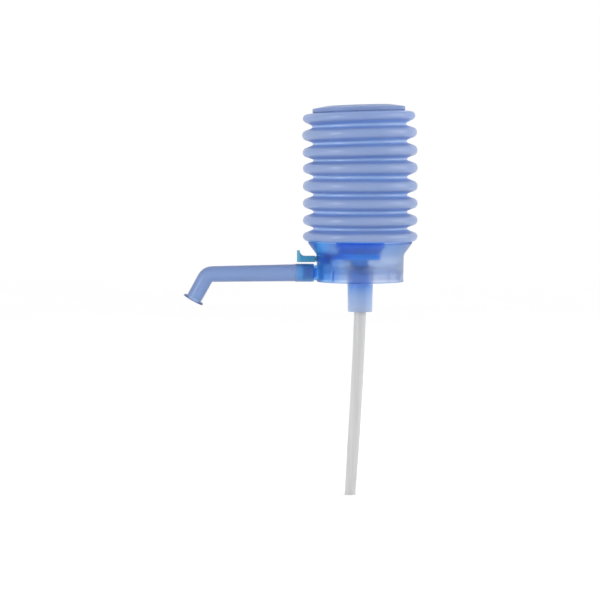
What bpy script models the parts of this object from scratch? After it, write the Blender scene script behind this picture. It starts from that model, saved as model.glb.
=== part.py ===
"""Hand pump for a large water bottle.

Pressing the bellows pushes air through the outlet valve into the bottle. Water then climbs the
riser tube, passes the tap and leaves by the spout. Metres, +Z up. The origin is on the pump's
axis, in the plane where the bottle's mouth meets the gasket. The spout points along -X.
"""

import math

import bmesh
import bpy
from mathutils import Matrix, Vector

MM = 0.001

# Gaps between pieces, and how far a cutter runs past a face
seat_gap = 0.3 * MM
running_gap = 0.2 * MM
overrun = 1.0 * MM

# Sides of the round pieces
body_sides = 40
bellows_sides = 32
sleeve_sides = 28
tube_sides = 20
small_sides = 16
hole_sides = 12
ring_facets = 8

# Neck of the bottle, and how the skirt fits round it
bottle_neck_radius = 27.5 * MM
neck_clearance = 0.7 * MM
neck_depth = 7.9 * MM

# Skirt, cone and rim of the body
skirt_wall = 1.8 * MM
skirt_draft = 0.5 * MM
skirt_height = 20.0 * MM
foot_chamfer = 0.5 * MM
cone_height = 8.3 * MM
cone_flare = 6.1 * MM
rim_height = 0.9 * MM

# Inside of the skirt: ribs that centre the bottle's neck, ledge and bead that hold the deck
centring_rib_count = 12
centring_rib_depth = 2.3 * MM
centring_rib_width = 1.4 * MM
centring_rib_lift = 0.8 * MM
ledge_height = 1.5 * MM
ledge_setback = 0.5 * MM
bead_height = 0.8 * MM
bead_depth = 0.6 * MM

# Gasket under the deck
gasket_setback = 0.8 * MM
gasket_width = 6.2 * MM
gasket_thickness = 1.8 * MM

# Deck with the air chamber, the water column and the duct to the tap
deck_thickness = 1.5 * MM
deck_edge_gap = 0.7 * MM
chamber_outer_radius = 15.0 * MM
chamber_wall = 1.6 * MM
chamber_drop = 1.5 * MM
column_wall = 2.4 * MM
column_roof = 1.5 * MM
riser_stop_width = 0.8 * MM
stub_wall = 2.4 * MM
stub_length = 14.0 * MM
riser_socket_depth = 12.0 * MM
duct_wall = 1.4 * MM
spigot_wall = 0.8 * MM
spigot_length = 2.4 * MM
washer_thickness = 0.8 * MM
air_hole_count = 6
air_hole_radius = 1.3 * MM

# Outlet valve and the plate that it closes
plate_thickness = 1.7 * MM
plate_lip = 1.0 * MM
plate_drop = 1.0 * MM
outlet_valve_room = 4.2 * MM
outlet_hole_radius = 1.5 * MM
outlet_hole_count = 6

# Both umbrella valves
valve_disc_thickness = 1.3 * MM
valve_edge_thickness = 0.5 * MM
valve_stem_radius = 1.1 * MM
valve_bulb_radius = 1.8 * MM
valve_bulb_height = 1.4 * MM
valve_lift = 0.9 * MM

# Bellows
rib_count = 8
rib_pitch = 12.57 * MM
rib_overhang = 2.7 * MM
rib_depth = 7.6 * MM
rib_tip_radius = 3.8 * MM
edge_rib_tip_radius = 3.2 * MM
top_rib_inset = 0.9 * MM
valley_width = 1.7 * MM
bellows_wall = 0.9 * MM
foot_rib_height = 3.6 * MM
foot_overhang = 1.2 * MM
top_rib_height = 3.9 * MM
bellows_neck_length = 8.0 * MM
collar_bead_height = 0.55 * MM
collar_bead_depth = 0.5 * MM
top_collar_height = 2.0 * MM
top_lean = math.radians(1.8)
rib_arc_steps = 3
inner_arc_steps = 2

# Clamp round the neck of the bellows
clamp_wall = 1.6 * MM
clamp_height = 4.5 * MM

# Cap that the hand presses
cap_inset = 0.5 * MM
cap_wall = 1.4 * MM
cap_side_height = 2.3 * MM
cap_shoulder = 1.1 * MM
cap_slope_width = 11.4 * MM
cap_crown_rise = 1.7 * MM
cap_hole_radius = 8.3 * MM
shoulder_steps = 3
cap_lip_height = 0.35 * MM

# Inlet valve's seat, in the middle of the cap
seat_ledge_width = 1.3 * MM
seat_hub_wall = 1.2 * MM
seat_web_thickness = 1.5 * MM
seat_dish_depth = 3.0 * MM
seat_guard_height = 2.4 * MM
inlet_valve_room = 1.2 * MM
inlet_hole_radius = 1.1 * MM
inlet_hole_count = 6

# Sleeve and riser tube
sleeve_wall = 2.2 * MM
sleeve_taper = 0.6 * MM
sleeve_overhang = 18.3 * MM
sleeve_floor = 2.5 * MM
riser_top_radius = 4.4 * MM
riser_taper = 0.45 * MM
riser_wall = 1.1 * MM
riser_reach = 158.4 * MM
riser_taper_length = 35.0 * MM
riser_lean = 7.3 * MM
riser_lean_power_share = 1.25
riser_steps = 9

# Tap: boss in the body, plug, ring and the handle that is pushed on from outside
tap_bore_radius = 3.8 * MM
tap_boss_wall = 1.1 * MM
tap_bore_length = 9.0 * MM
boss_setback = 1.3 * MM
plug_wall = 1.3 * MM
plug_end_wall = 0.6 * MM
plug_port_length = 1.8 * MM
plug_port_width = 3.4 * MM
plug_port_setback = 0.3 * MM
shaft_hole_gap = 0.25 * MM
tap_ring_radius = 0.45 * MM
tap_ring_room = 0.6 * MM
drive_width = 2.4 * MM
drive_length = 6.0 * MM
handle_start_gap = 0.6 * MM
handle_length = 14.5 * MM
handle_width = 5.0 * MM
handle_plate = 2.2 * MM
handle_rise = 6.4 * MM
handle_fillet = 3.6 * MM
handle_bevel = 0.5 * MM
fillet_steps = 5

# Downcomer in the thick part of the skirt, from the tap to the nipple
pad_side_wall = 2.0 * MM
pad_step = 1.1 * MM
pad_foot_lift = 1.2 * MM
slot_thickness = 1.8 * MM
slot_width = 7.0 * MM
slot_top_shift = 0.5 * MM
slot_foot_shift = 0.8 * MM
slot_overrun = 2.0 * MM

# Nipple of the body, and the ring that seals the spout on it
nipple_drop = 1.45 * MM
nipple_neck_length = 1.6 * MM
nipple_length = 8.3 * MM
nipple_radius = 4.8 * MM
nipple_shoulder = 0.9 * MM
nipple_wall = 1.6 * MM
nipple_bore_wall = 1.0 * MM
nipple_bead_rise = 0.35 * MM
nipple_bead_width = 0.8 * MM
nipple_bead_setback = 1.0 * MM
ring_groove_depth = 0.95 * MM
ring_groove_width = 1.5 * MM
ring_setback = 4.4 * MM
spout_ring_radius = 0.42 * MM

# Spout
collar_wall = 1.65 * MM
collar_overlap = 5.6 * MM
collar_chamfer = 0.4 * MM
collar_step = 0.35 * MM
spout_taper = 0.5 * MM
spout_end_taper = 0.1 * MM
spout_wall = 1.5 * MM
spout_run = 78.7 * MM
spout_droop = math.radians(0.9)
spout_turn = math.radians(61.0)
spout_centre_bend = 6.1 * MM
spout_leg = 22.2 * MM
lip_width = 2.3 * MM
lip_thickness = 1.5 * MM
lip_bell = 0.5 * MM
bend_steps = 6

# Radii that follow from the neck of the bottle
centring_radius = bottle_neck_radius + neck_clearance
skirt_inner_radius = centring_radius + centring_rib_depth
skirt_radius = skirt_inner_radius + skirt_wall
rim_radius = skirt_radius + cone_flare
deck_radius = skirt_inner_radius - deck_edge_gap
gasket_outer_radius = bottle_neck_radius - gasket_setback
gasket_inner_radius = gasket_outer_radius - gasket_width
foot_radius = rim_radius + foot_overhang
rib_radius = foot_radius + rib_overhang
valley_radius = rib_radius - rib_depth
cap_radius = valley_radius - cap_inset
cap_crown_radius = cap_radius - cap_slope_width

# Radii that follow from the valves, the riser, the tap and the nipple
outlet_valve_radius = chamber_outer_radius - chamber_wall - outlet_valve_room
seat_flange_radius = cap_hole_radius + seat_ledge_width
inlet_valve_radius = seat_flange_radius - seat_hub_wall - inlet_valve_room
riser_foot_radius = riser_top_radius - riser_taper
stub_radius = riser_top_radius + seat_gap + stub_wall
sleeve_top_radius = stub_radius + seat_gap + sleeve_wall
sleeve_foot_radius = sleeve_top_radius - sleeve_taper
column_bore_radius = riser_top_radius - riser_stop_width
column_radius = column_bore_radius + column_wall
duct_bore_radius = tap_bore_radius - seat_gap - spigot_wall
duct_radius = duct_bore_radius + duct_wall
shaft_radius = tap_bore_radius - 2 * tap_ring_radius - tap_ring_room
nipple_neck_radius = nipple_radius + nipple_shoulder
nipple_bore_radius = nipple_radius - nipple_wall
collar_radius = nipple_radius + running_gap + collar_wall
spout_root_radius = collar_radius - collar_step
spout_bend_radius = spout_root_radius - spout_taper
spout_end_radius = spout_bend_radius - spout_end_taper
lip_radius = spout_end_radius + lip_width

# Reaches towards -X from the pump's axis
lower_pad_inner = centring_radius
upper_pad_inner = lower_pad_inner - pad_step
pad_outer = skirt_radius - boss_setback
pad_width = slot_width + 2 * pad_side_wall
nipple_bore_start = lower_pad_inner + nipple_bore_wall
slot_foot_reach = nipple_bore_start + slot_foot_shift
tap_bore_end = pad_outer
tap_bore_start = tap_bore_end - tap_bore_length
handle_start = skirt_radius + handle_start_gap
handle_reach = skirt_radius + handle_length
nipple_neck_reach = skirt_radius + nipple_neck_length
nipple_reach = nipple_neck_reach + nipple_length
spout_start = nipple_neck_reach + seat_gap
collar_length = nipple_length - seat_gap + collar_overlap

# Heights above the bottle's mouth
foot_z = -neck_depth
cone_z = foot_z + skirt_height
rim_z = cone_z + cone_height + rim_height
deck_z = gasket_thickness + seat_gap
deck_top_z = deck_z + deck_thickness
sleeve_foot_z = deck_z - stub_length - sleeve_overhang
bellows_z = rim_z + seat_gap
chamber_top_z = bellows_z - chamber_drop
plate_z = chamber_top_z - plate_drop - plate_thickness
boss_radius = tap_bore_radius + tap_boss_wall
tap_z = deck_top_z + seat_gap + boss_radius
nipple_z = -nipple_drop
last_rib_z = bellows_z + foot_rib_height + (rib_count - 1) * rib_pitch
head_z = last_rib_z + top_rib_height
lean_start_z = bellows_z + foot_rib_height + (rib_count - 1) / 2 * rib_pitch
lean_end_z = last_rib_z - 3 * rib_pitch / 2
cap_crown_z = cap_side_height + cap_shoulder + cap_crown_rise
plug_start = tap_bore_start + spigot_length + seat_gap
plug_end = tap_bore_end - 2 * (tap_ring_radius + seat_gap)
port_reach = plug_end - plug_end_wall - plug_port_setback - plug_port_length / 2

LDPE_BLUE = (0.33, 0.47, 0.78)
LIGHT_BLUE = (0.40, 0.54, 0.82)
DEEP_BLUE = (0.10, 0.30, 0.72)
TEAL = (0.06, 0.30, 0.42)
MILKY = (0.62, 0.62, 0.64)
SILICONE = (0.80, 0.82, 0.84)


def clear_scene():
    """Starts from an empty scene."""
    for thing in list(bpy.data.objects):
        bpy.data.objects.remove(thing, do_unlink=True)


def plastic(name, colour, roughness):
    """A plain plastic of one colour."""
    material = bpy.data.materials.new(name)
    material.use_nodes = True
    shader = material.node_tree.nodes["Principled BSDF"]
    shader.inputs["Base Color"].default_value = (*colour, 1.0)
    shader.inputs["Roughness"].default_value = roughness
    shader.inputs["Metallic"].default_value = 0.0
    return material


def add_object(name, shape, material=None, location=(0, 0, 0), rotation=(0, 0, 0), parent=None):
    """Turns a bmesh into a named object whose faces point out."""
    bmesh.ops.recalc_face_normals(shape, faces=shape.faces)
    mesh = bpy.data.meshes.new(name)
    shape.to_mesh(mesh)
    shape.free()
    mesh.shade_smooth()
    mesh.set_sharp_from_angle(angle=math.radians(35))
    thing = bpy.data.objects.new(name, mesh)
    bpy.context.scene.collection.objects.link(thing)
    thing.location = location
    thing.rotation_euler = rotation
    thing.parent = parent
    if material:
        mesh.materials.append(material)
    return thing


def add_empty(name, location, rotation=(0, 0, 0)):
    """A guide that pieces hang on."""
    guide = bpy.data.objects.new(name, None)
    bpy.context.scene.collection.objects.link(guide)
    guide.location = location
    guide.rotation_euler = rotation
    return guide


def skin(rings, closed):
    """Joins rings of vertices. A closed skin joins the last ring to the first, an open one is capped."""
    shape = bmesh.new()
    loops = [[shape.verts.new(point) for point in ring] for ring in rings]
    following = loops[1:] + loops[:1] if closed else loops[1:]
    for here, there in zip(loops, following):
        for side in range(len(here)):
            after = (side + 1) % len(here)
            shape.faces.new((here[side], here[after], there[after], there[side]))
    if not closed:
        shape.faces.new(loops[0])
        shape.faces.new(list(reversed(loops[-1])))
    return shape


def circle(centre, across, radius, sides, phase_share=0.0):
    """Points round a centre, in the plane of the across direction and Y."""
    beside = Vector((0, 1, 0))
    points = []
    for side in range(sides):
        angle = (side + phase_share) * 2 * math.pi / sides
        points.append(centre + radius * (math.cos(angle) * across + math.sin(angle) * beside))
    return points


def turned(outline, sides, closed=True, phase_share=0.0):
    """A shape turned about Z from (radius, height) points. A closed outline makes a ring."""
    rings = []
    for radius, height in outline:
        rings.append(circle(Vector((0, 0, height)), Vector((1, 0, 0)), radius, sides, phase_share))
    return skin(rings, closed)


def bar(outline, sides=tube_sides):
    """A solid turned piece, with its first facet square to +X."""
    return turned(outline, sides, closed=False, phase_share=0.5)


def swept(stations, sides):
    """A hollow tube through (centre, angle, radius) stations, out along its outside and back inside.

    The angle turns the tube's direction from +Z towards -X.
    """
    rings = []
    for centre, angle, radius in stations:
        across = Vector((math.cos(angle), 0, math.sin(angle)))
        rings.append(circle(centre, across, radius, sides))
    return skin(rings, True)


def extruded(outline, width):
    """A shape with a side view of (x, z) points and a width along Y, centred on the XZ plane."""
    shape = bmesh.new()
    face = shape.faces.new([shape.verts.new((across, -width / 2, up)) for across, up in outline])
    grown = bmesh.ops.extrude_face_region(shape, geom=[face])
    moved = [item for item in grown["geom"] if isinstance(item, bmesh.types.BMVert)]
    bmesh.ops.translate(shape, verts=moved, vec=(0, width, 0))
    return shape


def block(low, high):
    """A box between two corners."""
    shape = bmesh.new()
    bmesh.ops.create_cube(shape, size=1)
    low = Vector(low)
    high = Vector(high)
    for vertex in shape.verts:
        share = vertex.co + Vector((0.5, 0.5, 0.5))
        vertex.co = [low[axis] + share[axis] * (high[axis] - low[axis]) for axis in range(3)]
    return shape


def add_shape(whole, piece):
    """Adds a piece to a shape that holds several, and frees it."""
    bmesh.ops.recalc_face_normals(piece, faces=piece.faces)
    mesh = bpy.data.meshes.new("piece")
    piece.to_mesh(mesh)
    piece.free()
    whole.from_mesh(mesh)
    bpy.data.meshes.remove(mesh)


def round_pattern(count, ring_radius, radius, low, high):
    """Upright round bars in a circle about Z, half a step from the X axis."""
    shape = bmesh.new()
    for index in range(count):
        angle = (index + 0.5) * 2 * math.pi / count
        centre = Vector((ring_radius * math.cos(angle), ring_radius * math.sin(angle), 0))
        piece = bar([(radius, low), (radius, high)], hole_sides)
        bmesh.ops.translate(piece, verts=piece.verts, vec=centre)
        add_shape(shape, piece)
    return shape


def combine(target, tool, operation):
    """Joins a tool to a target or cuts it out, and keeps the tool as a hidden guide."""
    tool.hide_render = True
    tool.display_type = "WIRE"
    step = target.modifiers.new(tool.name, "BOOLEAN")
    step.operation = operation
    step.solver = "EXACT"
    step.object = tool


def along_minus_x(reach, height):
    """Location and rotation of a piece whose own +Z runs along -X and whose own +X points up."""
    return (-reach, 0, height), (0, -math.pi / 2, 0)


def arc(centre, radius, start, end, steps):
    """Points of an arc in a plane, from one angle to another."""
    points = []
    for step in range(steps + 1):
        angle = start + (end - start) * step / steps
        points.append((centre[0] + radius * math.cos(angle), centre[1] + radius * math.sin(angle)))
    return points


def tangent_angle(centre, radius, point, side):
    """Angle on a circle where the line from a point touches it."""
    along = point[0] - centre[0]
    rise = point[1] - centre[1]
    opening = math.acos(min(1.0, radius / math.hypot(along, rise)))
    return math.atan2(rise, along) - side * opening


def offset_outline(outline, distance):
    """The outline moved sideways to its left by a distance, with mitred corners."""
    normals = []
    for here, there in zip(outline, outline[1:]):
        along = Vector((there[0] - here[0], there[1] - here[1])).normalized()
        normals.append(Vector((-along.y, along.x)))
    moved = []
    for index, point in enumerate(outline):
        before = normals[max(index - 1, 0)]
        after = normals[min(index, len(normals) - 1)]
        shift = (before + after) * (distance / (1 + before.dot(after)))
        moved.append((point[0] + shift.x, point[1] + shift.y))
    return moved


def make_pump_body(material):
    """Body: rim, cone, skirt, boss for the tap, downcomer and nipple."""
    foot_radius_out = skirt_radius - skirt_draft
    wall_radius = skirt_inner_radius
    foot_wall_radius = foot_radius_out - skirt_wall
    slope = math.atan2(rim_radius - skirt_radius, cone_height)
    rim_wall = skirt_wall / math.cos(slope)
    ledge_z = deck_z - seat_gap
    ledge_radius = centring_radius + ledge_setback
    bead_z = deck_top_z + seat_gap
    bead_radius = wall_radius - bead_depth - running_gap
    outline = [
        (foot_radius_out - foot_chamfer, foot_z),
        (foot_radius_out, foot_z + foot_chamfer),
        (skirt_radius, cone_z),
        (rim_radius, cone_z + cone_height),
        (rim_radius, rim_z),
        (rim_radius - rim_wall, rim_z),
        (rim_radius - rim_wall, cone_z + cone_height),
        (wall_radius, cone_z + skirt_wall * math.tan(slope / 2)),
        (wall_radius, bead_z + 2 * bead_height),
        (bead_radius, bead_z + bead_height),
        (bead_radius, bead_z),
        (wall_radius, bead_z),
        (wall_radius, ledge_z),
        (ledge_radius, ledge_z),
        (ledge_radius, ledge_z - ledge_height),
        (foot_wall_radius, ledge_z - ledge_height - (wall_radius - ledge_radius)),
        (foot_wall_radius, foot_z + foot_chamfer),
        (foot_wall_radius + foot_chamfer, foot_z),
    ]
    body = add_object("pump_body", turned(outline, body_sides), material)

    ribs = bmesh.new()
    for index in range(centring_rib_count):
        angle = (index + 0.5) * 2 * math.pi / centring_rib_count
        rib = block(
            (centring_radius, -centring_rib_width / 2, foot_z + centring_rib_lift),
            (wall_radius, centring_rib_width / 2, ledge_z - ledge_height / 2),
        )
        bmesh.ops.rotate(rib, verts=rib.verts, matrix=Matrix.Rotation(angle, 3, "Z"))
        add_shape(ribs, rib)
    combine(body, add_object("centring_ribs", ribs), "UNION")

    pad_step_z = ledge_z - ledge_height / 2
    pad_outline = [
        (-pad_outer, foot_z + pad_foot_lift),
        (-lower_pad_inner, foot_z + pad_foot_lift),
        (-lower_pad_inner, pad_step_z),
        (-upper_pad_inner, pad_step_z),
        (-upper_pad_inner, tap_z),
        (-pad_outer, tap_z),
    ]
    combine(body, add_object("downcomer_pad", extruded(pad_outline, pad_width)), "UNION")

    place, spin = along_minus_x(tap_bore_start, tap_z)
    wall_here = tap_bore_end - tap_bore_start
    boss = bar([(boss_radius, 0), (boss_radius, wall_here)])
    combine(body, add_object("tap_boss", boss, location=place, rotation=spin), "UNION")

    place, spin = along_minus_x(0, nipple_z)
    groove_z = nipple_reach - ring_setback
    bead_end = nipple_reach - nipple_bead_setback
    groove_radius = nipple_radius - ring_groove_depth
    bead_rise_radius = nipple_radius + nipple_bead_rise
    nipple = bar(
        [
            (nipple_neck_radius, pad_outer - overrun),
            (nipple_neck_radius, nipple_neck_reach),
            (nipple_radius, nipple_neck_reach),
            (nipple_radius, groove_z - ring_groove_width / 2),
            (groove_radius, groove_z - ring_groove_width / 2),
            (groove_radius, groove_z + ring_groove_width / 2),
            (nipple_radius, groove_z + ring_groove_width / 2),
            (nipple_radius, bead_end - nipple_bead_width),
            (bead_rise_radius, bead_end - nipple_bead_width / 2),
            (bead_rise_radius, bead_end),
            (nipple_radius, bead_end + nipple_bead_width / 2),
            (nipple_radius, nipple_reach),
        ]
    )
    combine(body, add_object("nipple_outside", nipple, location=place, rotation=spin), "UNION")

    bore = bar(
        [(nipple_bore_radius, nipple_bore_start), (nipple_bore_radius, nipple_reach + overrun)]
    )
    combine(body, add_object("nipple_bore", bore, location=place, rotation=spin), "DIFFERENCE")

    place, spin = along_minus_x(0, tap_z)
    shaft_hole = shaft_radius + shaft_hole_gap
    tap_bore = bar(
        [
            (tap_bore_radius, tap_bore_start - overrun),
            (tap_bore_radius, tap_bore_end),
            (shaft_hole, tap_bore_end),
            (shaft_hole, skirt_radius + overrun),
        ]
    )
    combine(body, add_object("tap_bore", tap_bore, location=place, rotation=spin), "DIFFERENCE")

    top = Vector((-port_reach - slot_top_shift, 0, tap_z - tap_bore_radius))
    foot = Vector((-slot_foot_reach, 0, nipple_z + nipple_bore_radius))
    way = top - foot
    half_length = way.length / 2 + slot_overrun
    slot = block(
        (-slot_thickness / 2, -slot_width / 2, -half_length),
        (slot_thickness / 2, slot_width / 2, half_length),
    )
    lean = math.atan2(way.x, way.z)
    place = (top + foot) / 2
    combine(body, add_object("downcomer", slot, location=place, rotation=(0, lean, 0)), "DIFFERENCE")
    return body


def make_valve_deck(material):
    """Deck over the bottle's mouth, with the air chamber, the water column and the duct."""
    chamber_bore = chamber_outer_radius - chamber_wall
    plate_seat = plate_z - seat_gap
    outline = [
        (column_radius, deck_z),
        (deck_radius, deck_z),
        (deck_radius, deck_top_z),
        (chamber_outer_radius, deck_top_z),
        (chamber_outer_radius, chamber_top_z),
        (chamber_bore + plate_lip / 2, chamber_top_z),
        (chamber_bore + plate_lip / 2, plate_seat),
        (chamber_bore - plate_lip / 2, plate_seat),
        (chamber_bore - plate_lip, plate_seat - plate_lip),
        (chamber_bore, plate_seat - 2 * plate_lip),
        (chamber_bore, deck_top_z),
        (column_radius, deck_top_z),
    ]
    deck = add_object("valve_deck", turned(outline, body_sides), material)

    column_top = tap_z + duct_bore_radius + column_roof
    column = bar(
        [
            (stub_radius, deck_z - stub_length),
            (stub_radius, deck_z + deck_thickness / 2),
            (column_radius, deck_top_z),
            (column_radius, column_top),
        ]
    )
    combine(deck, add_object("column_outside", column), "UNION")

    place, spin = along_minus_x(0, tap_z)
    duct_end = tap_bore_start - washer_thickness - 2 * seat_gap
    spigot_radius = tap_bore_radius - seat_gap
    duct = bar(
        [
            (duct_radius, column_bore_radius),
            (duct_radius, duct_end),
            (spigot_radius, duct_end),
            (spigot_radius, tap_bore_start + spigot_length),
        ]
    )
    combine(deck, add_object("duct_outside", duct, location=place, rotation=spin), "UNION")

    riser_bore = riser_top_radius + seat_gap
    riser_stop = deck_z - stub_length + riser_socket_depth
    column_bore = bar(
        [
            (riser_bore, deck_z - stub_length - overrun),
            (riser_bore, riser_stop),
            (column_bore_radius, riser_stop),
            (column_bore_radius, column_top - column_roof),
        ]
    )
    combine(deck, add_object("column_bore", column_bore), "DIFFERENCE")

    duct_bore = bar(
        [(duct_bore_radius, 0), (duct_bore_radius, tap_bore_start + spigot_length + overrun)]
    )
    combine(deck, add_object("duct_bore", duct_bore, location=place, rotation=spin), "DIFFERENCE")

    hole_ring = (sleeve_top_radius + chamber_bore) / 2
    holes = round_pattern(
        air_hole_count, hole_ring, air_hole_radius, deck_z - overrun, deck_top_z + overrun
    )
    combine(deck, add_object("air_holes", holes), "DIFFERENCE")

    notch = block(
        (-deck_radius - overrun, -pad_width / 2 - seat_gap, deck_z - overrun),
        (-upper_pad_inner + seat_gap, pad_width / 2 + seat_gap, deck_top_z + overrun),
    )
    combine(deck, add_object("pad_notch", notch), "DIFFERENCE")
    return deck


def make_duct_washer(material):
    """Flat silicone washer between the duct's shoulder and the tap's boss."""
    place, spin = along_minus_x(tap_bore_start - seat_gap - washer_thickness, tap_z)
    inner = tap_bore_radius - seat_gap + running_gap
    outline = [(inner, 0), (boss_radius, 0), (boss_radius, washer_thickness), (inner, washer_thickness)]
    return add_object("duct_washer", turned(outline, small_sides), material, place, spin)


def make_neck_gasket(material):
    """Flat ring that the bottle's mouth presses against the deck."""
    outline = [
        (gasket_inner_radius, 0),
        (gasket_outer_radius, 0),
        (gasket_outer_radius, gasket_thickness),
        (gasket_inner_radius, gasket_thickness),
    ]
    return add_object("neck_gasket", turned(outline, body_sides), material)


def make_riser_sleeve(material):
    """Tapered sleeve under the deck that holds the top of the riser tube."""
    top = deck_z - seat_gap
    bore = stub_radius + seat_gap
    outline = [
        (riser_top_radius + seat_gap, sleeve_foot_z),
        (sleeve_foot_radius, sleeve_foot_z),
        (sleeve_top_radius, top),
        (bore, top),
        (bore, sleeve_foot_z + sleeve_floor),
        (riser_top_radius + seat_gap, sleeve_foot_z + sleeve_floor),
    ]
    return add_object("riser_sleeve", turned(outline, sleeve_sides), material)


def riser_station(depth):
    """Centre, angle and outer radius of the riser tube at a depth below its top."""
    top = deck_z - stub_length + riser_socket_depth - seat_gap
    bend_start = top - (sleeve_foot_z + sleeve_floor)
    length = top - (foot_z - riser_reach)
    bend_length = length - bend_start
    below = max(0.0, depth - bend_start)
    power = riser_lean_power_share
    aside = riser_lean * (below / bend_length) ** power
    slope = riser_lean / bend_length * power * (below / bend_length) ** (power - 1) if below else 0.0
    taper = max(0.0, (depth - (length - riser_taper_length)) / riser_taper_length)
    radius = riser_top_radius + (riser_foot_radius - riser_top_radius) * taper
    return Vector((aside, 0, depth)), -math.atan(slope), radius


def make_riser_tube(material):
    """Milky tube that reaches down into the bottle. Its own +Z points down, and it curls to -X."""
    top = deck_z - stub_length + riser_socket_depth - seat_gap
    length = top - (foot_z - riser_reach)
    straight = top - (sleeve_foot_z + sleeve_floor)
    depths = [0.0]
    for step in range(riser_steps):
        depths.append(straight + (length - straight) * step / (riser_steps - 1))
    outside = [riser_station(depth) for depth in depths]
    inside = [(centre, angle, radius - riser_wall) for centre, angle, radius in reversed(outside)]
    shape = swept(outside + inside, small_sides)
    return add_object("riser_tube", shape, material, (0, 0, top), (0, math.pi, 0))


def make_valve_plate(material):
    """Plate in the top of the air chamber, with the outlet valve's holes."""
    radius = chamber_outer_radius - chamber_wall + plate_lip / 2 - seat_gap
    hole = valve_stem_radius + running_gap
    outline = [
        (hole, plate_z),
        (radius, plate_z),
        (radius, plate_z + plate_thickness),
        (hole, plate_z + plate_thickness),
    ]
    plate = add_object("valve_plate", turned(outline, sleeve_sides), material)
    ring = (outlet_valve_radius + hole) / 2
    holes = round_pattern(
        outlet_hole_count,
        ring,
        outlet_hole_radius,
        plate_z - overrun,
        plate_z + plate_thickness + overrun,
    )
    combine(plate, add_object("outlet_holes", holes), "DIFFERENCE")
    return plate


def umbrella(disc_radius, web):
    """A valve's disc, stem and bulb, with its origin on the disc's sealing face."""
    bulb = seat_gap + web + valve_lift + running_gap
    return turned(
        [
            (disc_radius / 3, -valve_disc_thickness),
            (disc_radius, -valve_edge_thickness),
            (disc_radius, 0),
            (valve_stem_radius, 0),
            (valve_stem_radius, bulb),
            (valve_bulb_radius, bulb),
            (valve_bulb_radius, bulb + valve_bulb_height / 2),
            (valve_stem_radius, bulb + valve_bulb_height),
        ],
        small_sides,
        closed=False,
    )


def make_outlet_valve(material):
    """Umbrella valve that lets air out of the bellows into the bottle."""
    shape = umbrella(outlet_valve_radius, plate_thickness)
    return add_object("outlet_valve", shape, material, (0, 0, plate_z - seat_gap))


def ramp(height):
    """How much of the lean the bellows has at a height, from 0 to 1."""
    return min(1.0, max(0.0, (height - lean_start_z) / (lean_end_z - lean_start_z)))


def sway(height):
    """How far the lean has carried the bellows to -X at a height."""
    leaning = ramp(height) ** 2 * (lean_end_z - lean_start_z) / 2 + max(0.0, height - lean_end_z)
    return leaning * math.sin(top_lean)


def bellows_outline(arc_steps):
    """Outside of the bellows from its neck to its collar, without the collar's bead."""
    neck = chamber_outer_radius + seat_gap + bellows_wall
    collar = cap_radius - cap_wall - 2 * seat_gap
    half_valley = valley_width / 2
    outline = [(neck, bellows_z - bellows_neck_length), (neck, bellows_z)]
    lower = (foot_radius, bellows_z)
    for rib in range(rib_count):
        last = rib == rib_count - 1
        tip = edge_rib_tip_radius if last or rib == 0 else rib_tip_radius
        crest = rib_radius - top_rib_inset if last else rib_radius
        centre = (crest - tip, bellows_z + foot_rib_height + rib * rib_pitch)
        upper = (cap_radius, head_z) if last else (valley_radius, centre[1] + rib_pitch / 2 - half_valley)
        start = tangent_angle(centre, tip, lower, -1)
        end = tangent_angle(centre, tip, upper, 1)
        outline.append(lower)
        outline.extend(arc(centre, tip, start, end, arc_steps))
        outline.append(upper)
        lower = (valley_radius, upper[1] + valley_width)
    outline.append((collar, head_z))
    outline.append((collar, head_z + top_collar_height))
    return outline


def make_bellows(material):
    """Ribbed bellows of one wall, open at its neck and collar, leaning a little to -X at the top."""
    plain = bellows_outline(rib_arc_steps)
    inside = offset_outline(bellows_outline(inner_arc_steps), bellows_wall)
    collar, top = plain[-1]
    bead_top = top - collar_bead_height / 2
    outside = plain[:-1] + [
        (collar, bead_top - 2 * collar_bead_height),
        (collar + collar_bead_depth, bead_top - collar_bead_height * 1.5),
        (collar + collar_bead_depth, bead_top - collar_bead_height / 2),
        (collar, bead_top),
        plain[-1],
    ]
    shape = turned(outside + list(reversed(inside)), bellows_sides)
    for vertex in shape.verts:
        height = vertex.co.z
        angle = top_lean * ramp(height)
        vertex.co.z += vertex.co.x * math.sin(angle)
        vertex.co.x = vertex.co.x * math.cos(angle) - sway(height)
    return add_object("bellows", shape, material)


def make_bellows_clamp(material):
    """Ring that clamps the bellows' neck on the air chamber."""
    inner = chamber_outer_radius + bellows_wall + 2 * seat_gap
    top = bellows_z - seat_gap
    outline = [
        (inner, top - clamp_height),
        (inner + clamp_wall, top - clamp_height),
        (inner + clamp_wall, top),
        (inner, top),
    ]
    return add_object("bellows_clamp", turned(outline, bellows_sides), material)


def make_press_cap(material, head):
    """Stepped cap on the bellows' collar, with a hole for the inlet valve's seat."""
    lip = cap_radius - cap_wall - seat_gap
    groove = lip + collar_bead_depth
    roof = top_collar_height + seat_gap
    shoulder = arc(
        (cap_radius - cap_shoulder, cap_side_height), cap_shoulder, 0, math.pi / 2, shoulder_steps
    )
    outline = [
        (cap_radius, seat_gap),
        *shoulder,
        (cap_crown_radius, cap_crown_z),
        (cap_hole_radius, cap_crown_z),
        (cap_hole_radius, cap_crown_z - cap_wall),
        (cap_crown_radius, cap_crown_z - cap_wall),
        (groove, roof),
        (groove, seat_gap + cap_lip_height + collar_bead_height / 2),
        (lip, seat_gap + cap_lip_height),
        (lip, seat_gap),
    ]
    return add_object("press_cap", turned(outline, bellows_sides), material, parent=head)


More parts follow.
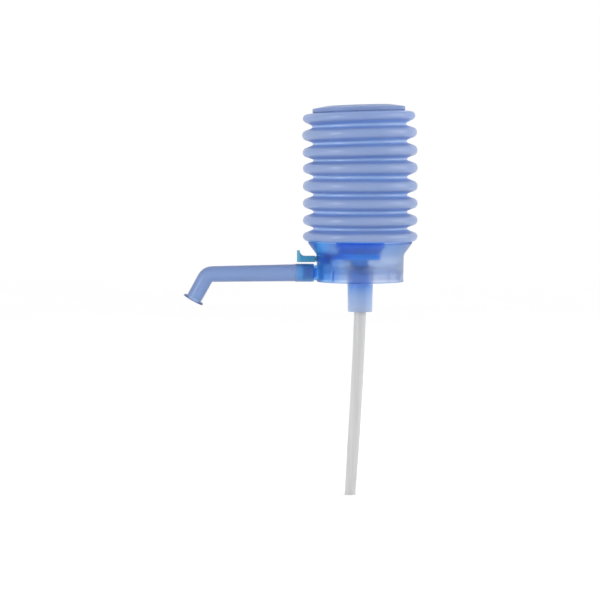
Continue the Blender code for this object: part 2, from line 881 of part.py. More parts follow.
def make_inlet_valve_seat(material, head):
    """Hub under the middle of the cap, with a dish, a web with air holes and a guard ring."""
    hub = cap_hole_radius - seat_gap
    flange_z = cap_crown_z - cap_wall - seat_gap
    web_z = cap_crown_z - seat_dish_depth - seat_web_thickness
    hole = valve_stem_radius + running_gap
    outline = [
        (hole, web_z),
        (seat_flange_radius - seat_hub_wall, web_z),
        (seat_flange_radius - seat_hub_wall, web_z - seat_guard_height),
        (seat_flange_radius, web_z - seat_guard_height),
        (seat_flange_radius, flange_z),
        (hub, flange_z),
        (hub, cap_crown_z),
        (hub - seat_hub_wall, cap_crown_z),
        (hub - seat_hub_wall, web_z + seat_web_thickness),
        (hole, web_z + seat_web_thickness),
    ]
    seat = add_object("inlet_valve_seat", turned(outline, sleeve_sides), material, parent=head)
    ring = (inlet_valve_radius + hole) / 2
    holes = round_pattern(
        inlet_hole_count,
        ring,
        inlet_hole_radius,
        web_z - overrun,
        web_z + seat_web_thickness + overrun,
    )
    combine(seat, add_object("inlet_holes", holes, parent=head), "DIFFERENCE")
    return seat


def make_inlet_valve(material, head):
    """Umbrella valve that lets outside air into the bellows."""
    shape = umbrella(inlet_valve_radius, seat_web_thickness)
    place = (0, 0, cap_crown_z - seat_dish_depth - seat_web_thickness - seat_gap)
    return add_object("inlet_valve", shape, material, place, parent=head)


def square_bar(width, low, high):
    """An upright square bar round Z."""
    return block((-width / 2, -width / 2, low), (width / 2, width / 2, high))


def make_tap_plug(material, axis):
    """Hollow plug with a port, and a shaft through the skirt with a square end for the handle."""
    radius = tap_bore_radius - running_gap
    length = plug_end - plug_start
    shaft_end = handle_start - seat_gap - plug_start
    barrel = bar([(radius, 0), (radius, length), (shaft_radius, length), (shaft_radius, shaft_end)])
    plug = add_object("tap_plug", barrel, material, parent=axis)

    drive = square_bar(drive_width, length, handle_start + drive_length - plug_start)
    combine(plug, add_object("plug_drive", drive, parent=axis), "UNION")

    bore_radius = radius - plug_wall
    bore = bar([(bore_radius, -overrun), (bore_radius, length - plug_end_wall)])
    combine(plug, add_object("plug_bore", bore, parent=axis), "DIFFERENCE")

    port_z = port_reach - plug_start
    port = block(
        (-radius - overrun, -plug_port_width / 2, port_z - plug_port_length / 2),
        (0, plug_port_width / 2, port_z + plug_port_length / 2),
    )
    combine(plug, add_object("plug_port", port, parent=axis), "DIFFERENCE")
    return plug


def make_tap_handle(material, axis):
    """Handle with an upturned end, pushed on the square end of the plug's shaft."""
    handle_z = handle_start - plug_start
    tip_z = handle_reach - plug_start
    fillet_centre = (shaft_radius + handle_fillet, tip_z - handle_plate - handle_fillet)
    side_view = [
        (-shaft_radius, handle_z),
        (-shaft_radius, tip_z),
        (handle_rise, tip_z),
        (handle_rise, tip_z - handle_plate),
        *arc(fillet_centre, handle_fillet, math.pi / 2, math.pi, fillet_steps),
        (shaft_radius, handle_z),
    ]
    handle = add_object("tap_handle", extruded(side_view, handle_width), material, parent=axis)
    bevel = handle.modifiers.new("soft_edges", "BEVEL")
    bevel.width = handle_bevel
    bevel.segments = 1
    bevel.limit_method = "ANGLE"

    socket_end = handle_z + drive_length + seat_gap
    socket = square_bar(drive_width + 2 * seat_gap, handle_z - overrun, socket_end)
    combine(handle, add_object("handle_socket", socket, parent=axis), "DIFFERENCE")
    return handle


def sealing_ring(middle_radius, radius):
    """A round silicone ring about Z."""
    outline = arc((middle_radius, 0), radius, 0, 2 * math.pi, ring_facets)
    return turned(outline[:-1], small_sides)


def make_tap_ring(material):
    """Ring on the tap's shaft, between the plug and the skirt's wall."""
    place, spin = along_minus_x(tap_bore_end - seat_gap - tap_ring_radius, tap_z)
    shape = sealing_ring(shaft_radius + running_gap + tap_ring_radius, tap_ring_radius)
    return add_object("tap_ring", shape, material, place, spin)


def make_spout_ring(material):
    """Ring in the nipple's groove that seals the spout."""
    place, spin = along_minus_x(nipple_reach - ring_setback, nipple_z)
    groove_radius = nipple_radius - ring_groove_depth
    middle = (groove_radius + nipple_radius + running_gap) / 2
    return add_object("spout_ring", sealing_ring(middle, spout_ring_radius), material, place, spin)


def spout_stations(root, bend, end):
    """Stations of the spout's tube from the collar's end to the lip, for three radii."""
    start = Vector((0, 0, collar_length))
    along = Vector((-math.sin(spout_droop), 0, math.cos(spout_droop)))
    down = Vector((-math.sin(spout_turn), 0, math.cos(spout_turn)))
    turn = spout_turn - spout_droop
    corner = start + along * ((spout_run - collar_length) / along.z)
    tangent = spout_centre_bend * math.tan(turn / 2)
    bend_start = corner - along * tangent
    middle = bend_start - Vector((math.cos(spout_droop), 0, math.sin(spout_droop))) * spout_centre_bend
    stations = [(start, spout_droop, root), ((start + bend_start) / 2, spout_droop, (root + bend) / 2)]
    for step in range(bend_steps + 1):
        angle = spout_droop + turn * step / bend_steps
        outward = Vector((math.cos(angle), 0, math.sin(angle)))
        stations.append((middle + outward * spout_centre_bend, angle, bend))
    stations.append((corner + down * (spout_leg - lip_thickness), spout_turn, end))
    return stations


def lip_face_centre():
    """Centre of the lip's face, in the spout's own axes."""
    centre = spout_stations(spout_root_radius, spout_bend_radius, spout_end_radius)[-1][0]
    return centre + Vector((-math.sin(spout_turn), 0, math.cos(spout_turn))) * lip_thickness


def straight(height, radius):
    """A station of the spout's collar or of the bore in it."""
    return (Vector((0, 0, height)), 0.0, radius)


def make_spout(material):
    """Spout: collar on the nipple, long tapered tube, elbow and lip."""
    bore = nipple_radius + running_gap
    groove = bore + nipple_bead_rise
    groove_start = nipple_reach - nipple_bead_setback - nipple_bead_width - running_gap - spout_start
    groove_end = nipple_reach - nipple_bead_setback + nipple_bead_width / 2 + running_gap - spout_start
    bore_end = nipple_reach + seat_gap - spout_start
    lip_end = lip_face_centre()

    outside = [
        straight(0, collar_radius - collar_chamfer),
        straight(collar_chamfer, collar_radius),
        straight(collar_length - collar_chamfer, collar_radius),
        *spout_stations(spout_root_radius, spout_bend_radius, spout_end_radius),
    ]
    lip_start = outside[-1][0]
    outside.append((lip_start, spout_turn, lip_radius))
    outside.append((lip_end, spout_turn, lip_radius))
    inside = [
        (lip_end, spout_turn, spout_end_radius - spout_wall + lip_bell),
        *reversed(
            spout_stations(
                spout_root_radius - spout_wall,
                spout_bend_radius - spout_wall,
                spout_end_radius - spout_wall,
            )
        ),
        straight(bore_end, bore),
        straight(groove_end, bore),
        straight(groove_end - nipple_bead_width / 2, groove),
        straight(groove_start + nipple_bead_width / 2, groove),
        straight(groove_start, bore),
        straight(0, bore),
    ]
    place, spin = along_minus_x(spout_start, nipple_z)
    return add_object("spout", swept(outside + inside, tube_sides), material, place, spin)


def build():
    """Makes every piece in its place."""
    clear_scene()
    shell = plastic("blue_translucent_body", LDPE_BLUE, 0.32)
    soft_shell = plastic("blue_soft_bellows", LIGHT_BLUE, 0.38)
    inner = plastic("blue_inner_pieces", DEEP_BLUE, 0.35)
    teal = plastic("teal_tap", TEAL, 0.25)
    milky = plastic("milky_riser", MILKY, 0.4)
    silicone = plastic("clear_silicone", SILICONE, 0.5)

    make_pump_body(shell)
    make_valve_deck(inner)
    make_duct_washer(silicone)
    make_neck_gasket(silicone)
    make_riser_sleeve(shell)
    make_riser_tube(milky)
    make_valve_plate(inner)
    make_outlet_valve(silicone)
    make_bellows(soft_shell)
    make_bellows_clamp(inner)

    head = add_empty("press_head", (-sway(head_z), 0, head_z), (0, -top_lean, 0))
    make_press_cap(soft_shell, head)
    make_inlet_valve_seat(inner, head)
    make_inlet_valve(silicone, head)

    place, spin = along_minus_x(plug_start, tap_z)
    tap_axis = add_empty("tap_axis", place, spin)
    make_tap_plug(teal, tap_axis)
    make_tap_handle(teal, tap_axis)
    make_tap_ring(silicone)
    make_spout_ring(silicone)
    make_spout(shell)


build()
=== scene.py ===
"""Looks of a hand pump for a large water bottle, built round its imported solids.

Metres, +Z up. The origin is on the pump's axis, where the bottle's mouth meets the gasket, and the
spout points along -X. The pieces are turned, swept and cut finely, in the places of the solids.
"""

import math

import bmesh
import bpy
from mathutils import Matrix, Vector, noise


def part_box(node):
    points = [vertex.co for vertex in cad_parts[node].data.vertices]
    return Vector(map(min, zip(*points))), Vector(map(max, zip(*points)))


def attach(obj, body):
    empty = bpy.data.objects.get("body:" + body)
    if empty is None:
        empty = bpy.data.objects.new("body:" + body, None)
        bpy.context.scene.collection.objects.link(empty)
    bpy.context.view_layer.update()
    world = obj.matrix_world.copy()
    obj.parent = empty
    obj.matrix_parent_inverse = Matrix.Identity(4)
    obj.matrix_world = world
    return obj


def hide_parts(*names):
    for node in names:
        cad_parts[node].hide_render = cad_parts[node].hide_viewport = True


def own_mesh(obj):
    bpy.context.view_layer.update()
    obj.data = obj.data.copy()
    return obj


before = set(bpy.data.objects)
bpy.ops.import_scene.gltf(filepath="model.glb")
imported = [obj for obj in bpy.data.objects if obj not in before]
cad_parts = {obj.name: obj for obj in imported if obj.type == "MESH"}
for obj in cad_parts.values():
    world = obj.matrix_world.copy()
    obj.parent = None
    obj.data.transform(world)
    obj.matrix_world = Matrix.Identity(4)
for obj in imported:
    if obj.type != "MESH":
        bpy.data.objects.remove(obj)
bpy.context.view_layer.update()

MM = 0.001

# Fineness of the meshes
bellows_sides = 128
body_sides = 128
inner_sides = 96
tube_sides = 64
small_sides = 48
hole_sides = 32
arc_steps = 10
soft_steps = 5
longest_rounding_share = 0.45
sharp_angle = math.radians(32)
bellows_sharp_angle = math.radians(50)
bevel_angle = math.radians(40)

# Clearances, as the solids have them
seat_gap = 0.3 * MM
running_gap = 0.2 * MM
overrun = 1.0 * MM

# Bottle's neck and the skirt round it
bottle_neck_radius = 27.5 * MM
neck_clearance = 0.7 * MM
skirt_wall = 1.8 * MM
skirt_draft = 0.5 * MM
skirt_height = 20.0 * MM
cone_height = 8.3 * MM
cone_flare = 6.1 * MM
cone_soft_edge = 1.4 * MM
foot_edge_bead = 0.25 * MM

# Inside of the skirt
centring_rib_count = 12
centring_rib_depth = 2.3 * MM
centring_rib_width = 1.4 * MM
centring_rib_lift = 0.8 * MM
ledge_height = 1.5 * MM
ledge_setback = 0.5 * MM
bead_height = 0.8 * MM
bead_depth = 0.6 * MM

# Gasket and deck
gasket_setback = 0.8 * MM
gasket_width = 6.2 * MM
gasket_thickness = 1.8 * MM
deck_thickness = 1.5 * MM
deck_edge_gap = 0.7 * MM
chamber_outer_radius = 15.0 * MM
chamber_wall = 1.6 * MM
chamber_drop = 1.5 * MM
chamber_soft_edge = 0.8 * MM
column_wall = 2.4 * MM
column_roof = 1.5 * MM
riser_stop_width = 0.8 * MM
stub_wall = 2.4 * MM
stub_length = 14.0 * MM
riser_socket_depth = 12.0 * MM
duct_wall = 1.4 * MM
spigot_wall = 0.8 * MM
spigot_length = 2.4 * MM
washer_thickness = 0.8 * MM
air_hole_count = 6
air_hole_radius = 1.3 * MM
plate_thickness = 1.7 * MM
plate_lip = 1.0 * MM
plate_drop = 1.0 * MM

# Valves
valve_disc_thickness = 1.3 * MM
valve_edge_thickness = 0.5 * MM
valve_stem_radius = 1.1 * MM
valve_bulb_radius = 1.8 * MM
valve_bulb_height = 1.4 * MM
valve_lift = 0.9 * MM

# Bellows
rib_count = 8
rib_pitch = 12.57 * MM
rib_radius = 42.3 * MM
top_rib_radius = 41.4 * MM
valley_radius = 34.7 * MM
rib_tip_radius = 3.8 * MM
edge_rib_tip_radius = 3.2 * MM
valley_width = 1.7 * MM
tip_wall = 0.75 * MM
valley_wall = 1.05 * MM
foot_rib_height = 3.6 * MM
foot_radius = 39.6 * MM
top_rib_height = 3.9 * MM
bellows_neck_length = 8.0 * MM
top_collar_height = 2.0 * MM
collar_bead_height = 0.55 * MM
collar_bead_depth = 0.5 * MM
top_lean = math.radians(1.8)
bellows_unevenness = 0.12 * MM
rib_settling = (-0.35, 0.5, 0.4, 0.45, -0.45, 0.05, -0.45, -0.1)
mould_line_height = 0.09 * MM

# Cap and the inlet valve's seat
cap_radius = 34.2 * MM
cap_wall = 1.4 * MM
cap_side_height = 2.3 * MM
cap_shoulder = 1.1 * MM
cap_crown_radius = 22.8 * MM
cap_crown_rise = 1.7 * MM
crown_soft_edge = 1.6 * MM
crown_inner_soft_edge = 1.0 * MM
cap_hole_radius = 8.3 * MM
cap_lip_height = 0.35 * MM
seat_flange_radius = 9.6 * MM
seat_hub_wall = 1.2 * MM
seat_web_thickness = 1.5 * MM
seat_dish_depth = 3.0 * MM
seat_guard_height = 2.4 * MM
inlet_valve_radius = 7.2 * MM
inlet_hole_radius = 1.1 * MM
inlet_hole_count = 6

# Riser
riser_top_radius = 4.4 * MM
riser_foot_radius = 3.95 * MM
riser_wall = 1.1 * MM
riser_taper_length = 35.0 * MM
riser_lean = 7.3 * MM
riser_lean_power = 1.25
riser_steps = 70
sleeve_wall = 2.2 * MM
sleeve_taper = 0.6 * MM
sleeve_floor = 2.5 * MM

# Tap
tap_bore_radius = 3.8 * MM
tap_boss_wall = 1.1 * MM
tap_bore_length = 9.0 * MM
boss_setback = 1.3 * MM
plug_wall = 1.3 * MM
plug_end_wall = 0.6 * MM
plug_port_length = 1.8 * MM
plug_port_width = 3.4 * MM
plug_port_setback = 0.3 * MM
shaft_radius = 2.3 * MM
shaft_hole_gap = 0.25 * MM
tap_ring_radius = 0.45 * MM
drive_width = 2.4 * MM
drive_length = 6.0 * MM
handle_start_gap = 0.6 * MM
handle_length = 14.5 * MM
handle_width = 5.0 * MM
handle_plate = 2.2 * MM
handle_rise = 6.4 * MM
handle_fillet = 3.6 * MM
handle_soft_edge = 0.55 * MM

# Downcomer
pad_side_wall = 2.0 * MM
pad_step = 1.1 * MM
pad_foot_lift = 1.2 * MM
slot_thickness = 1.8 * MM
slot_width = 7.0 * MM
slot_top_shift = 0.5 * MM
slot_foot_shift = 0.8 * MM
slot_overrun = 2.0 * MM

# Nipple
nipple_drop = 1.45 * MM
nipple_neck_length = 1.6 * MM
nipple_length = 8.3 * MM
nipple_radius = 4.8 * MM
nipple_shoulder = 0.9 * MM
nipple_root_soft_edge = 0.3 * MM
nipple_wall = 1.6 * MM
nipple_bore_wall = 1.0 * MM
nipple_bead_rise = 0.35 * MM
nipple_bead_width = 0.8 * MM
nipple_bead_setback = 1.0 * MM
ring_groove_depth = 0.95 * MM
ring_groove_width = 1.5 * MM
ring_setback = 4.4 * MM

# Spout
collar_radius = 6.65 * MM
collar_overlap = 5.6 * MM
collar_soft_edge = 0.45 * MM
spout_root_radius = 6.3 * MM
spout_bend_radius = 5.8 * MM
spout_end_radius = 5.7 * MM
spout_wall = 1.5 * MM
spout_run = 78.7 * MM
spout_droop = math.radians(0.9)
spout_turn = math.radians(61.0)
spout_centre_bend = 6.1 * MM
spout_leg = 22.2 * MM
lip_radius = 8.0 * MM
lip_thickness = 1.5 * MM
lip_bell = 0.5 * MM
lip_soft_edge = 0.3 * MM
lip_root_soft_edge = 0.4 * MM
lip_bell_soft_edge = 0.5 * MM
bend_steps = 16
run_steps = 24

# Heights and reaches that the frame gives
body_low, body_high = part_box("pump_body")
foot_z = body_low.z
rim_z = body_high.z
riser_foot_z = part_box("riser_tube")[0].z
sleeve_foot_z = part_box("riser_sleeve")[0].z
bellows_z = rim_z + seat_gap

# Heights that follow
cone_z = foot_z + skirt_height
deck_z = gasket_thickness + seat_gap
deck_top_z = deck_z + deck_thickness
chamber_top_z = bellows_z - chamber_drop
plate_z = chamber_top_z - plate_drop - plate_thickness
boss_radius = tap_bore_radius + tap_boss_wall
tap_z = deck_top_z + seat_gap + boss_radius
nipple_z = -nipple_drop
last_rib_z = bellows_z + foot_rib_height + (rib_count - 1) * rib_pitch
head_z = last_rib_z + top_rib_height
lean_start_z = bellows_z + foot_rib_height + (rib_count - 1) / 2 * rib_pitch
lean_end_z = last_rib_z - 3 * rib_pitch / 2
cap_crown_z = cap_side_height + cap_shoulder + cap_crown_rise
riser_top_z = deck_z - stub_length + riser_socket_depth - seat_gap

# Radii and reaches that follow
centring_radius = bottle_neck_radius + neck_clearance
skirt_inner_radius = centring_radius + centring_rib_depth
skirt_radius = skirt_inner_radius + skirt_wall
rim_radius = skirt_radius + cone_flare
deck_radius = skirt_inner_radius - deck_edge_gap
gasket_outer_radius = bottle_neck_radius - gasket_setback
gasket_inner_radius = gasket_outer_radius - gasket_width
chamber_bore = chamber_outer_radius - chamber_wall
stub_radius = riser_top_radius + seat_gap + stub_wall
sleeve_top_radius = stub_radius + seat_gap + sleeve_wall
sleeve_foot_radius = sleeve_top_radius - sleeve_taper
column_bore_radius = riser_top_radius - riser_stop_width
column_radius = column_bore_radius + column_wall
duct_bore_radius = tap_bore_radius - seat_gap - spigot_wall
duct_radius = duct_bore_radius + duct_wall
pad_outer = skirt_radius - boss_setback
pad_width = slot_width + 2 * pad_side_wall
upper_pad_inner = centring_radius - pad_step
nipple_bore_radius = nipple_radius - nipple_wall
nipple_bore_start = centring_radius + nipple_bore_wall
slot_foot_reach = nipple_bore_start + slot_foot_shift
tap_bore_end = pad_outer
tap_bore_start = tap_bore_end - tap_bore_length
plug_start = tap_bore_start + spigot_length + seat_gap
plug_end = tap_bore_end - 2 * (tap_ring_radius + seat_gap)
port_reach = plug_end - plug_end_wall - plug_port_setback - plug_port_length / 2
handle_start = skirt_radius + handle_start_gap
handle_reach = skirt_radius + handle_length
nipple_neck_reach = skirt_radius + nipple_neck_length
nipple_reach = nipple_neck_reach + nipple_length
spout_start = nipple_neck_reach + seat_gap
collar_length = nipple_length - seat_gap + collar_overlap

# Camera, from the photograph's scale and horizon
picture_width_px = 600
metres_per_px = 0.74 * MM
axis_px = 360.1
skirt_foot_px = 281.4
camera_distance = 1.7
eye_height = 0.085
sensor_width_mm = 36

# Surface that all the plastics share
noise_span = (0.3, 0.7)
cloud_span = (0.35, 0.65)
cloud_detail = 3.0
haze_scale = 60.0
haze_detail = 4.0
grain_detail = 2.0
bump_strength = 0.3
coat_roughness = 0.35
sleeve_transmission = (0.7, 0.92)
deck_transmission = (0.98, 0.1)
riser_line_scale = 420.0
riser_line_stretch = (1, 1, 0.03)
paper_roughness = 0.9
paper_cloud_scale = 3.0
paper_cloud_detail = 2.0

# Where one colour changes into the next: distances from the axis, then heights, then places along X
bellows_tone_and_shade_span = (34.5 * MM, 42.5 * MM)
column_wall_span = (8.0 * MM, 7.2 * MM)
bellows_foot_span = (23.2 * MM, 22.5 * MM)
body_height_span = (-4.0 * MM, 21.0 * MM)
thick_height_span = (25.0 * MM, 10.0 * MM)
foot_edge_span = (-6.8 * MM, -7.4 * MM)
chamber_foot_span = (8.0 * MM, 9.0 * MM)
sleeve_height_span = (-28.0 * MM, -4.0 * MM)
skirt_mouth_span = (-12.0 * MM, -7.0 * MM)
sleeved_riser_span = (-30.0 * MM, -28.0 * MM)
thick_reach_span = (-6.0 * MM, -22.0 * MM)
boss_span = (-23.0 * MM, -29.0 * MM)
nipple_neck_span = (-31.7 * MM, -32.3 * MM)
spout_collar_span = (-49.0 * MM, -43.0 * MM)
handle_tip_span = (-43.5 * MM, -45.5 * MM)
plug_barrel_span = (-32.5 * MM, -31.5 * MM)


# Mesh tools


def skin(rings, closed):
    """Joins rings of points. A closed skin joins the last ring to the first, an open one is capped."""
    shape = bmesh.new()
    loops = [[shape.verts.new(point) for point in ring] for ring in rings]
    following = loops[1:] + loops[:1] if closed else loops[1:]
    for here, there in zip(loops, following):
        for side in range(len(here)):
            after = (side + 1) % len(here)
            shape.faces.new((here[side], here[after], there[after], there[side]))
    if not closed:
        shape.faces.new(loops[0])
        shape.faces.new(list(reversed(loops[-1])))
    bmesh.ops.recalc_face_normals(shape, faces=shape.faces)
    return shape


def across_at(angle):
    """The direction across a tube whose own axis leans from +Z to -X by an angle."""
    return Vector((math.cos(angle), 0, math.sin(angle)))


def along_at(angle):
    """The direction along such a tube."""
    return Vector((-math.sin(angle), 0, math.cos(angle)))


def circle(centre, across, radius, sides):
    """Points round a centre, in the plane of the across direction and Y."""
    beside = Vector((0, 1, 0))
    points = []
    for side in range(sides):
        angle = side * 2 * math.pi / sides
        points.append(centre + radius * (math.cos(angle) * across + math.sin(angle) * beside))
    return points


def turned(outline, sides, closed=True):
    """A shape turned about Z from (radius, height) points. A closed outline makes a ring."""
    across = Vector((1, 0, 0))
    rings = [circle(Vector((0, 0, height)), across, radius, sides) for radius, height in outline]
    return skin(rings, closed)


def bar(outline, sides=small_sides):
    """A solid turned about Z from (radius, height) points, with flat ends."""
    return turned(outline, sides, closed=False)


def swept(stations, sides):
    """A hollow tube through (centre, angle, radius) stations, out along its outside and back inside."""
    rings = [circle(centre, across_at(angle), radius, sides) for centre, angle, radius in stations]
    return skin(rings, True)


def extruded(outline, width):
    """A shape with a side view of (x, z) points and a width along Y, centred on the XZ plane."""
    shape = bmesh.new()
    face = shape.faces.new([shape.verts.new((across, -width / 2, up)) for across, up in outline])
    grown = bmesh.ops.extrude_face_region(shape, geom=[face])
    moved = [item for item in grown["geom"] if isinstance(item, bmesh.types.BMVert)]
    bmesh.ops.translate(shape, verts=moved, vec=(0, width, 0))
    bmesh.ops.recalc_face_normals(shape, faces=shape.faces)
    return shape


def block(low, high):
    """A box between two corners."""
    shape = bmesh.new()
    bmesh.ops.create_cube(shape, size=1)
    low = Vector(low)
    high = Vector(high)
    for vertex in shape.verts:
        share = vertex.co + Vector((0.5, 0.5, 0.5))
        vertex.co = [low[axis] + share[axis] * (high[axis] - low[axis]) for axis in range(3)]
    return shape


def square_bar(width, low, high):
    """An upright square bar round Z."""
    return block((-width / 2, -width / 2, low), (width / 2, width / 2, high))


def softened(corners, closed=True):
    """The outline of (radius, height, softness) corners, each rounded from that far on both sides."""
    points = []
    count = len(corners)
    for index, (radius, height, softness) in enumerate(corners):
        here = Vector((radius, height))
        if softness <= 0 or (not closed and index in (0, count - 1)):
            points.append((radius, height))
            continue
        before = Vector(corners[index - 1][:2])
        after = Vector(corners[(index + 1) % count][:2])
        shortest = min((before - here).length, (after - here).length)
        reach = min(softness, longest_rounding_share * shortest)
        first = here + (before - here).normalized() * reach
        last = here + (after - here).normalized() * reach
        for step in range(soft_steps + 1):
            share = step / soft_steps
            point = (1 - share) ** 2 * first + 2 * share * (1 - share) * here + share**2 * last
            points.append((point.x, point.y))
    return points


def offset_outline(outline, distance_at):
    """The outline moved to its left, with mitred corners, by a distance that depends on the radius."""
    normals = []
    for here, there in zip(outline, outline[1:]):
        along = Vector((there[0] - here[0], there[1] - here[1])).normalized()
        normals.append(Vector((-along.y, along.x)))
    moved = []
    for index, point in enumerate(outline):
        before = normals[max(index - 1, 0)]
        after = normals[min(index, len(normals) - 1)]
        shift = (before + after) * (distance_at(point[0]) / (1 + before.dot(after)))
        moved.append((point[0] + shift.x, point[1] + shift.y))
    return moved


def arc(centre, radius, start, end, steps):
    """Points of an arc in a plane, from one angle to another."""
    points = []
    for step in range(steps + 1):
        angle = start + (end - start) * step / steps
        points.append((centre[0] + radius * math.cos(angle), centre[1] + radius * math.sin(angle)))
    return points


def tangent_angle(centre, radius, point, side):
    """Angle on a circle where the line from a point touches it."""
    along = point[0] - centre[0]
    rise = point[1] - centre[1]
    opening = math.acos(min(1.0, radius / math.hypot(along, rise)))
    return math.atan2(rise, along) - side * opening


def placed(location=(0, 0, 0), rotation_y=0.0):
    """The matrix that turns a shape about Y and then moves it."""
    return Matrix.Translation(Vector(location)) @ Matrix.Rotation(rotation_y, 4, "Y")


def along_minus_x(reach, height):
    """The matrix of a piece whose own +Z runs along -X and whose own +X points up."""
    return placed((-reach, 0, height), -math.pi / 2)


def lean_share(height):
    """How much of the lean the bellows has at a height, from 0 to 1."""
    return min(1.0, max(0.0, (height - lean_start_z) / (lean_end_z - lean_start_z)))


def sway(height):
    """How far the leaning bellows has moved to -X at a height."""
    bend_height = lean_end_z - lean_start_z
    leaning = lean_share(height) ** 2 * bend_height / 2 + max(0.0, height - lean_end_z)
    return leaning * math.sin(top_lean)


head_place = placed((-sway(head_z), 0, head_z), -top_lean)


def mesh_object(name, shape, place=None):
    """An object of the shape, moved to its place in the pump."""
    if place:
        shape.transform(place)
    mesh = bpy.data.meshes.new(name)
    shape.to_mesh(mesh)
    shape.free()
    thing = bpy.data.objects.new(name, mesh)
    bpy.context.scene.collection.objects.link(thing)
    return thing


def carve(target, tools):
    """Joins and cuts the tools, given as (operation, shape, place), one after the other."""
    helpers = []
    for operation, shape, place in tools:
        helper = mesh_object("helper", shape, place)
        helpers.append(helper)
        step = target.modifiers.new("carve", "BOOLEAN")
        step.operation = operation
        step.solver = "EXACT"
        step.object = helper
    bake(target)
    for helper in helpers:
        bpy.data.objects.remove(helper, do_unlink=True)


def bake(target):
    """Applies the modifiers of an object to its mesh."""
    graph = bpy.context.evaluated_depsgraph_get()
    mesh = bpy.data.meshes.new_from_object(target.evaluated_get(graph))
    target.modifiers.clear()
    target.data = mesh


def finish_piece(thing, node, body, material, sharpest=sharp_angle):
    """Shades the piece, dresses it and puts it in the place of its node."""
    mesh = thing.data
    mesh.shade_smooth()
    mesh.set_sharp_from_angle(angle=sharpest)
    mesh.materials.clear()
    mesh.materials.append(material)
    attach(thing, body)
    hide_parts(node)
    return thing


def round_pattern(count, ring_radius, radius, low, high):
    """Upright round bars in a circle about Z, half a step from the X axis."""
    shape = bmesh.new()
    for index in range(count):
        angle = (index + 0.5) * 2 * math.pi / count
        centre = Vector((ring_radius * math.cos(angle), ring_radius * math.sin(angle), 0))
        piece = bar([(radius, low), (radius, high)], hole_sides)
        bmesh.ops.translate(piece, verts=piece.verts, vec=centre)
        add_shape(shape, piece)
    return shape


def add_shape(whole, piece):
    """Adds a piece to a shape that holds several, and frees it."""
    mesh = bpy.data.meshes.new("piece")
    piece.to_mesh(mesh)
    piece.free()
    whole.from_mesh(mesh)
    bpy.data.meshes.remove(mesh)


# Body


def make_pump_body(material):
    """Skirt, cone and rim, with the tap's boss, the downcomer and the nipple."""
    foot_outer = skirt_radius - skirt_draft
    foot_inner = foot_outer - skirt_wall
    slope = math.atan2(cone_flare, cone_height)
    rim_inner = rim_radius - skirt_wall / math.cos(slope)
    ledge_z = deck_z - seat_gap
    ledge_radius = centring_radius + ledge_setback
    bead_z = deck_top_z + seat_gap
    bead_radius = skirt_inner_radius - bead_depth - running_gap
    soft = 0.45 * MM
    corners = [
        (foot_outer + foot_edge_bead, foot_z, soft),
        (foot_outer + foot_edge_bead, foot_z + 2 * soft, soft),
        (foot_outer, foot_z + 4 * soft, soft),
        (skirt_radius, cone_z, cone_soft_edge),
        (rim_radius, cone_z + cone_height, soft),
        (rim_radius, rim_z, soft / 2),
        (rim_inner, rim_z, soft / 2),
        (rim_inner, cone_z + cone_height, soft),
        (skirt_inner_radius, cone_z + skirt_wall * math.tan(slope / 2), soft),
        (skirt_inner_radius, bead_z + 2 * bead_height, 0),
        (bead_radius, bead_z + bead_height, 0),
        (bead_radius, bead_z, 0),
        (skirt_inner_radius, bead_z, 0),
        (skirt_inner_radius, ledge_z, 0),
        (ledge_radius, ledge_z, 0),
        (ledge_radius, ledge_z - ledge_height, soft / 2),
        (foot_inner, ledge_z - ledge_height - (skirt_inner_radius - ledge_radius), 0),
        (foot_inner, foot_z, soft),
    ]
    body = mesh_object("body_shell", turned(softened(corners), body_sides))

    ribs = bmesh.new()
    for index in range(centring_rib_count):
        angle = (index + 0.5) * 2 * math.pi / centring_rib_count
        rib = block(
            (centring_radius, -centring_rib_width / 2, foot_z + centring_rib_lift),
            (skirt_inner_radius, centring_rib_width / 2, ledge_z - ledge_height / 2),
        )
        bmesh.ops.rotate(rib, verts=rib.verts, matrix=Matrix.Rotation(angle, 3, "Z"))
        add_shape(ribs, rib)

    pad_step_z = ledge_z - ledge_height / 2
    pad = extruded(
        [
            (-pad_outer, foot_z + pad_foot_lift),
            (-centring_radius, foot_z + pad_foot_lift),
            (-centring_radius, pad_step_z),
            (-upper_pad_inner, pad_step_z),
            (-upper_pad_inner, tap_z),
            (-pad_outer, tap_z),
        ],
        pad_width,
    )
    boss = bar([(boss_radius, 0), (boss_radius, tap_bore_length)])
    carve(
        body,
        [
            ("UNION", ribs, None),
            ("UNION", pad, None),
            ("UNION", boss, along_minus_x(tap_bore_start, tap_z)),
            ("UNION", nipple_shape(), along_minus_x(0, nipple_z)),
            ("DIFFERENCE", nipple_bore_shape(), along_minus_x(0, nipple_z)),
            ("DIFFERENCE", tap_bore_shape(), along_minus_x(0, tap_z)),
            ("DIFFERENCE", *downcomer_shape()),
        ],
    )
    return finish_piece(body, "pump_body", "pump_head", material)


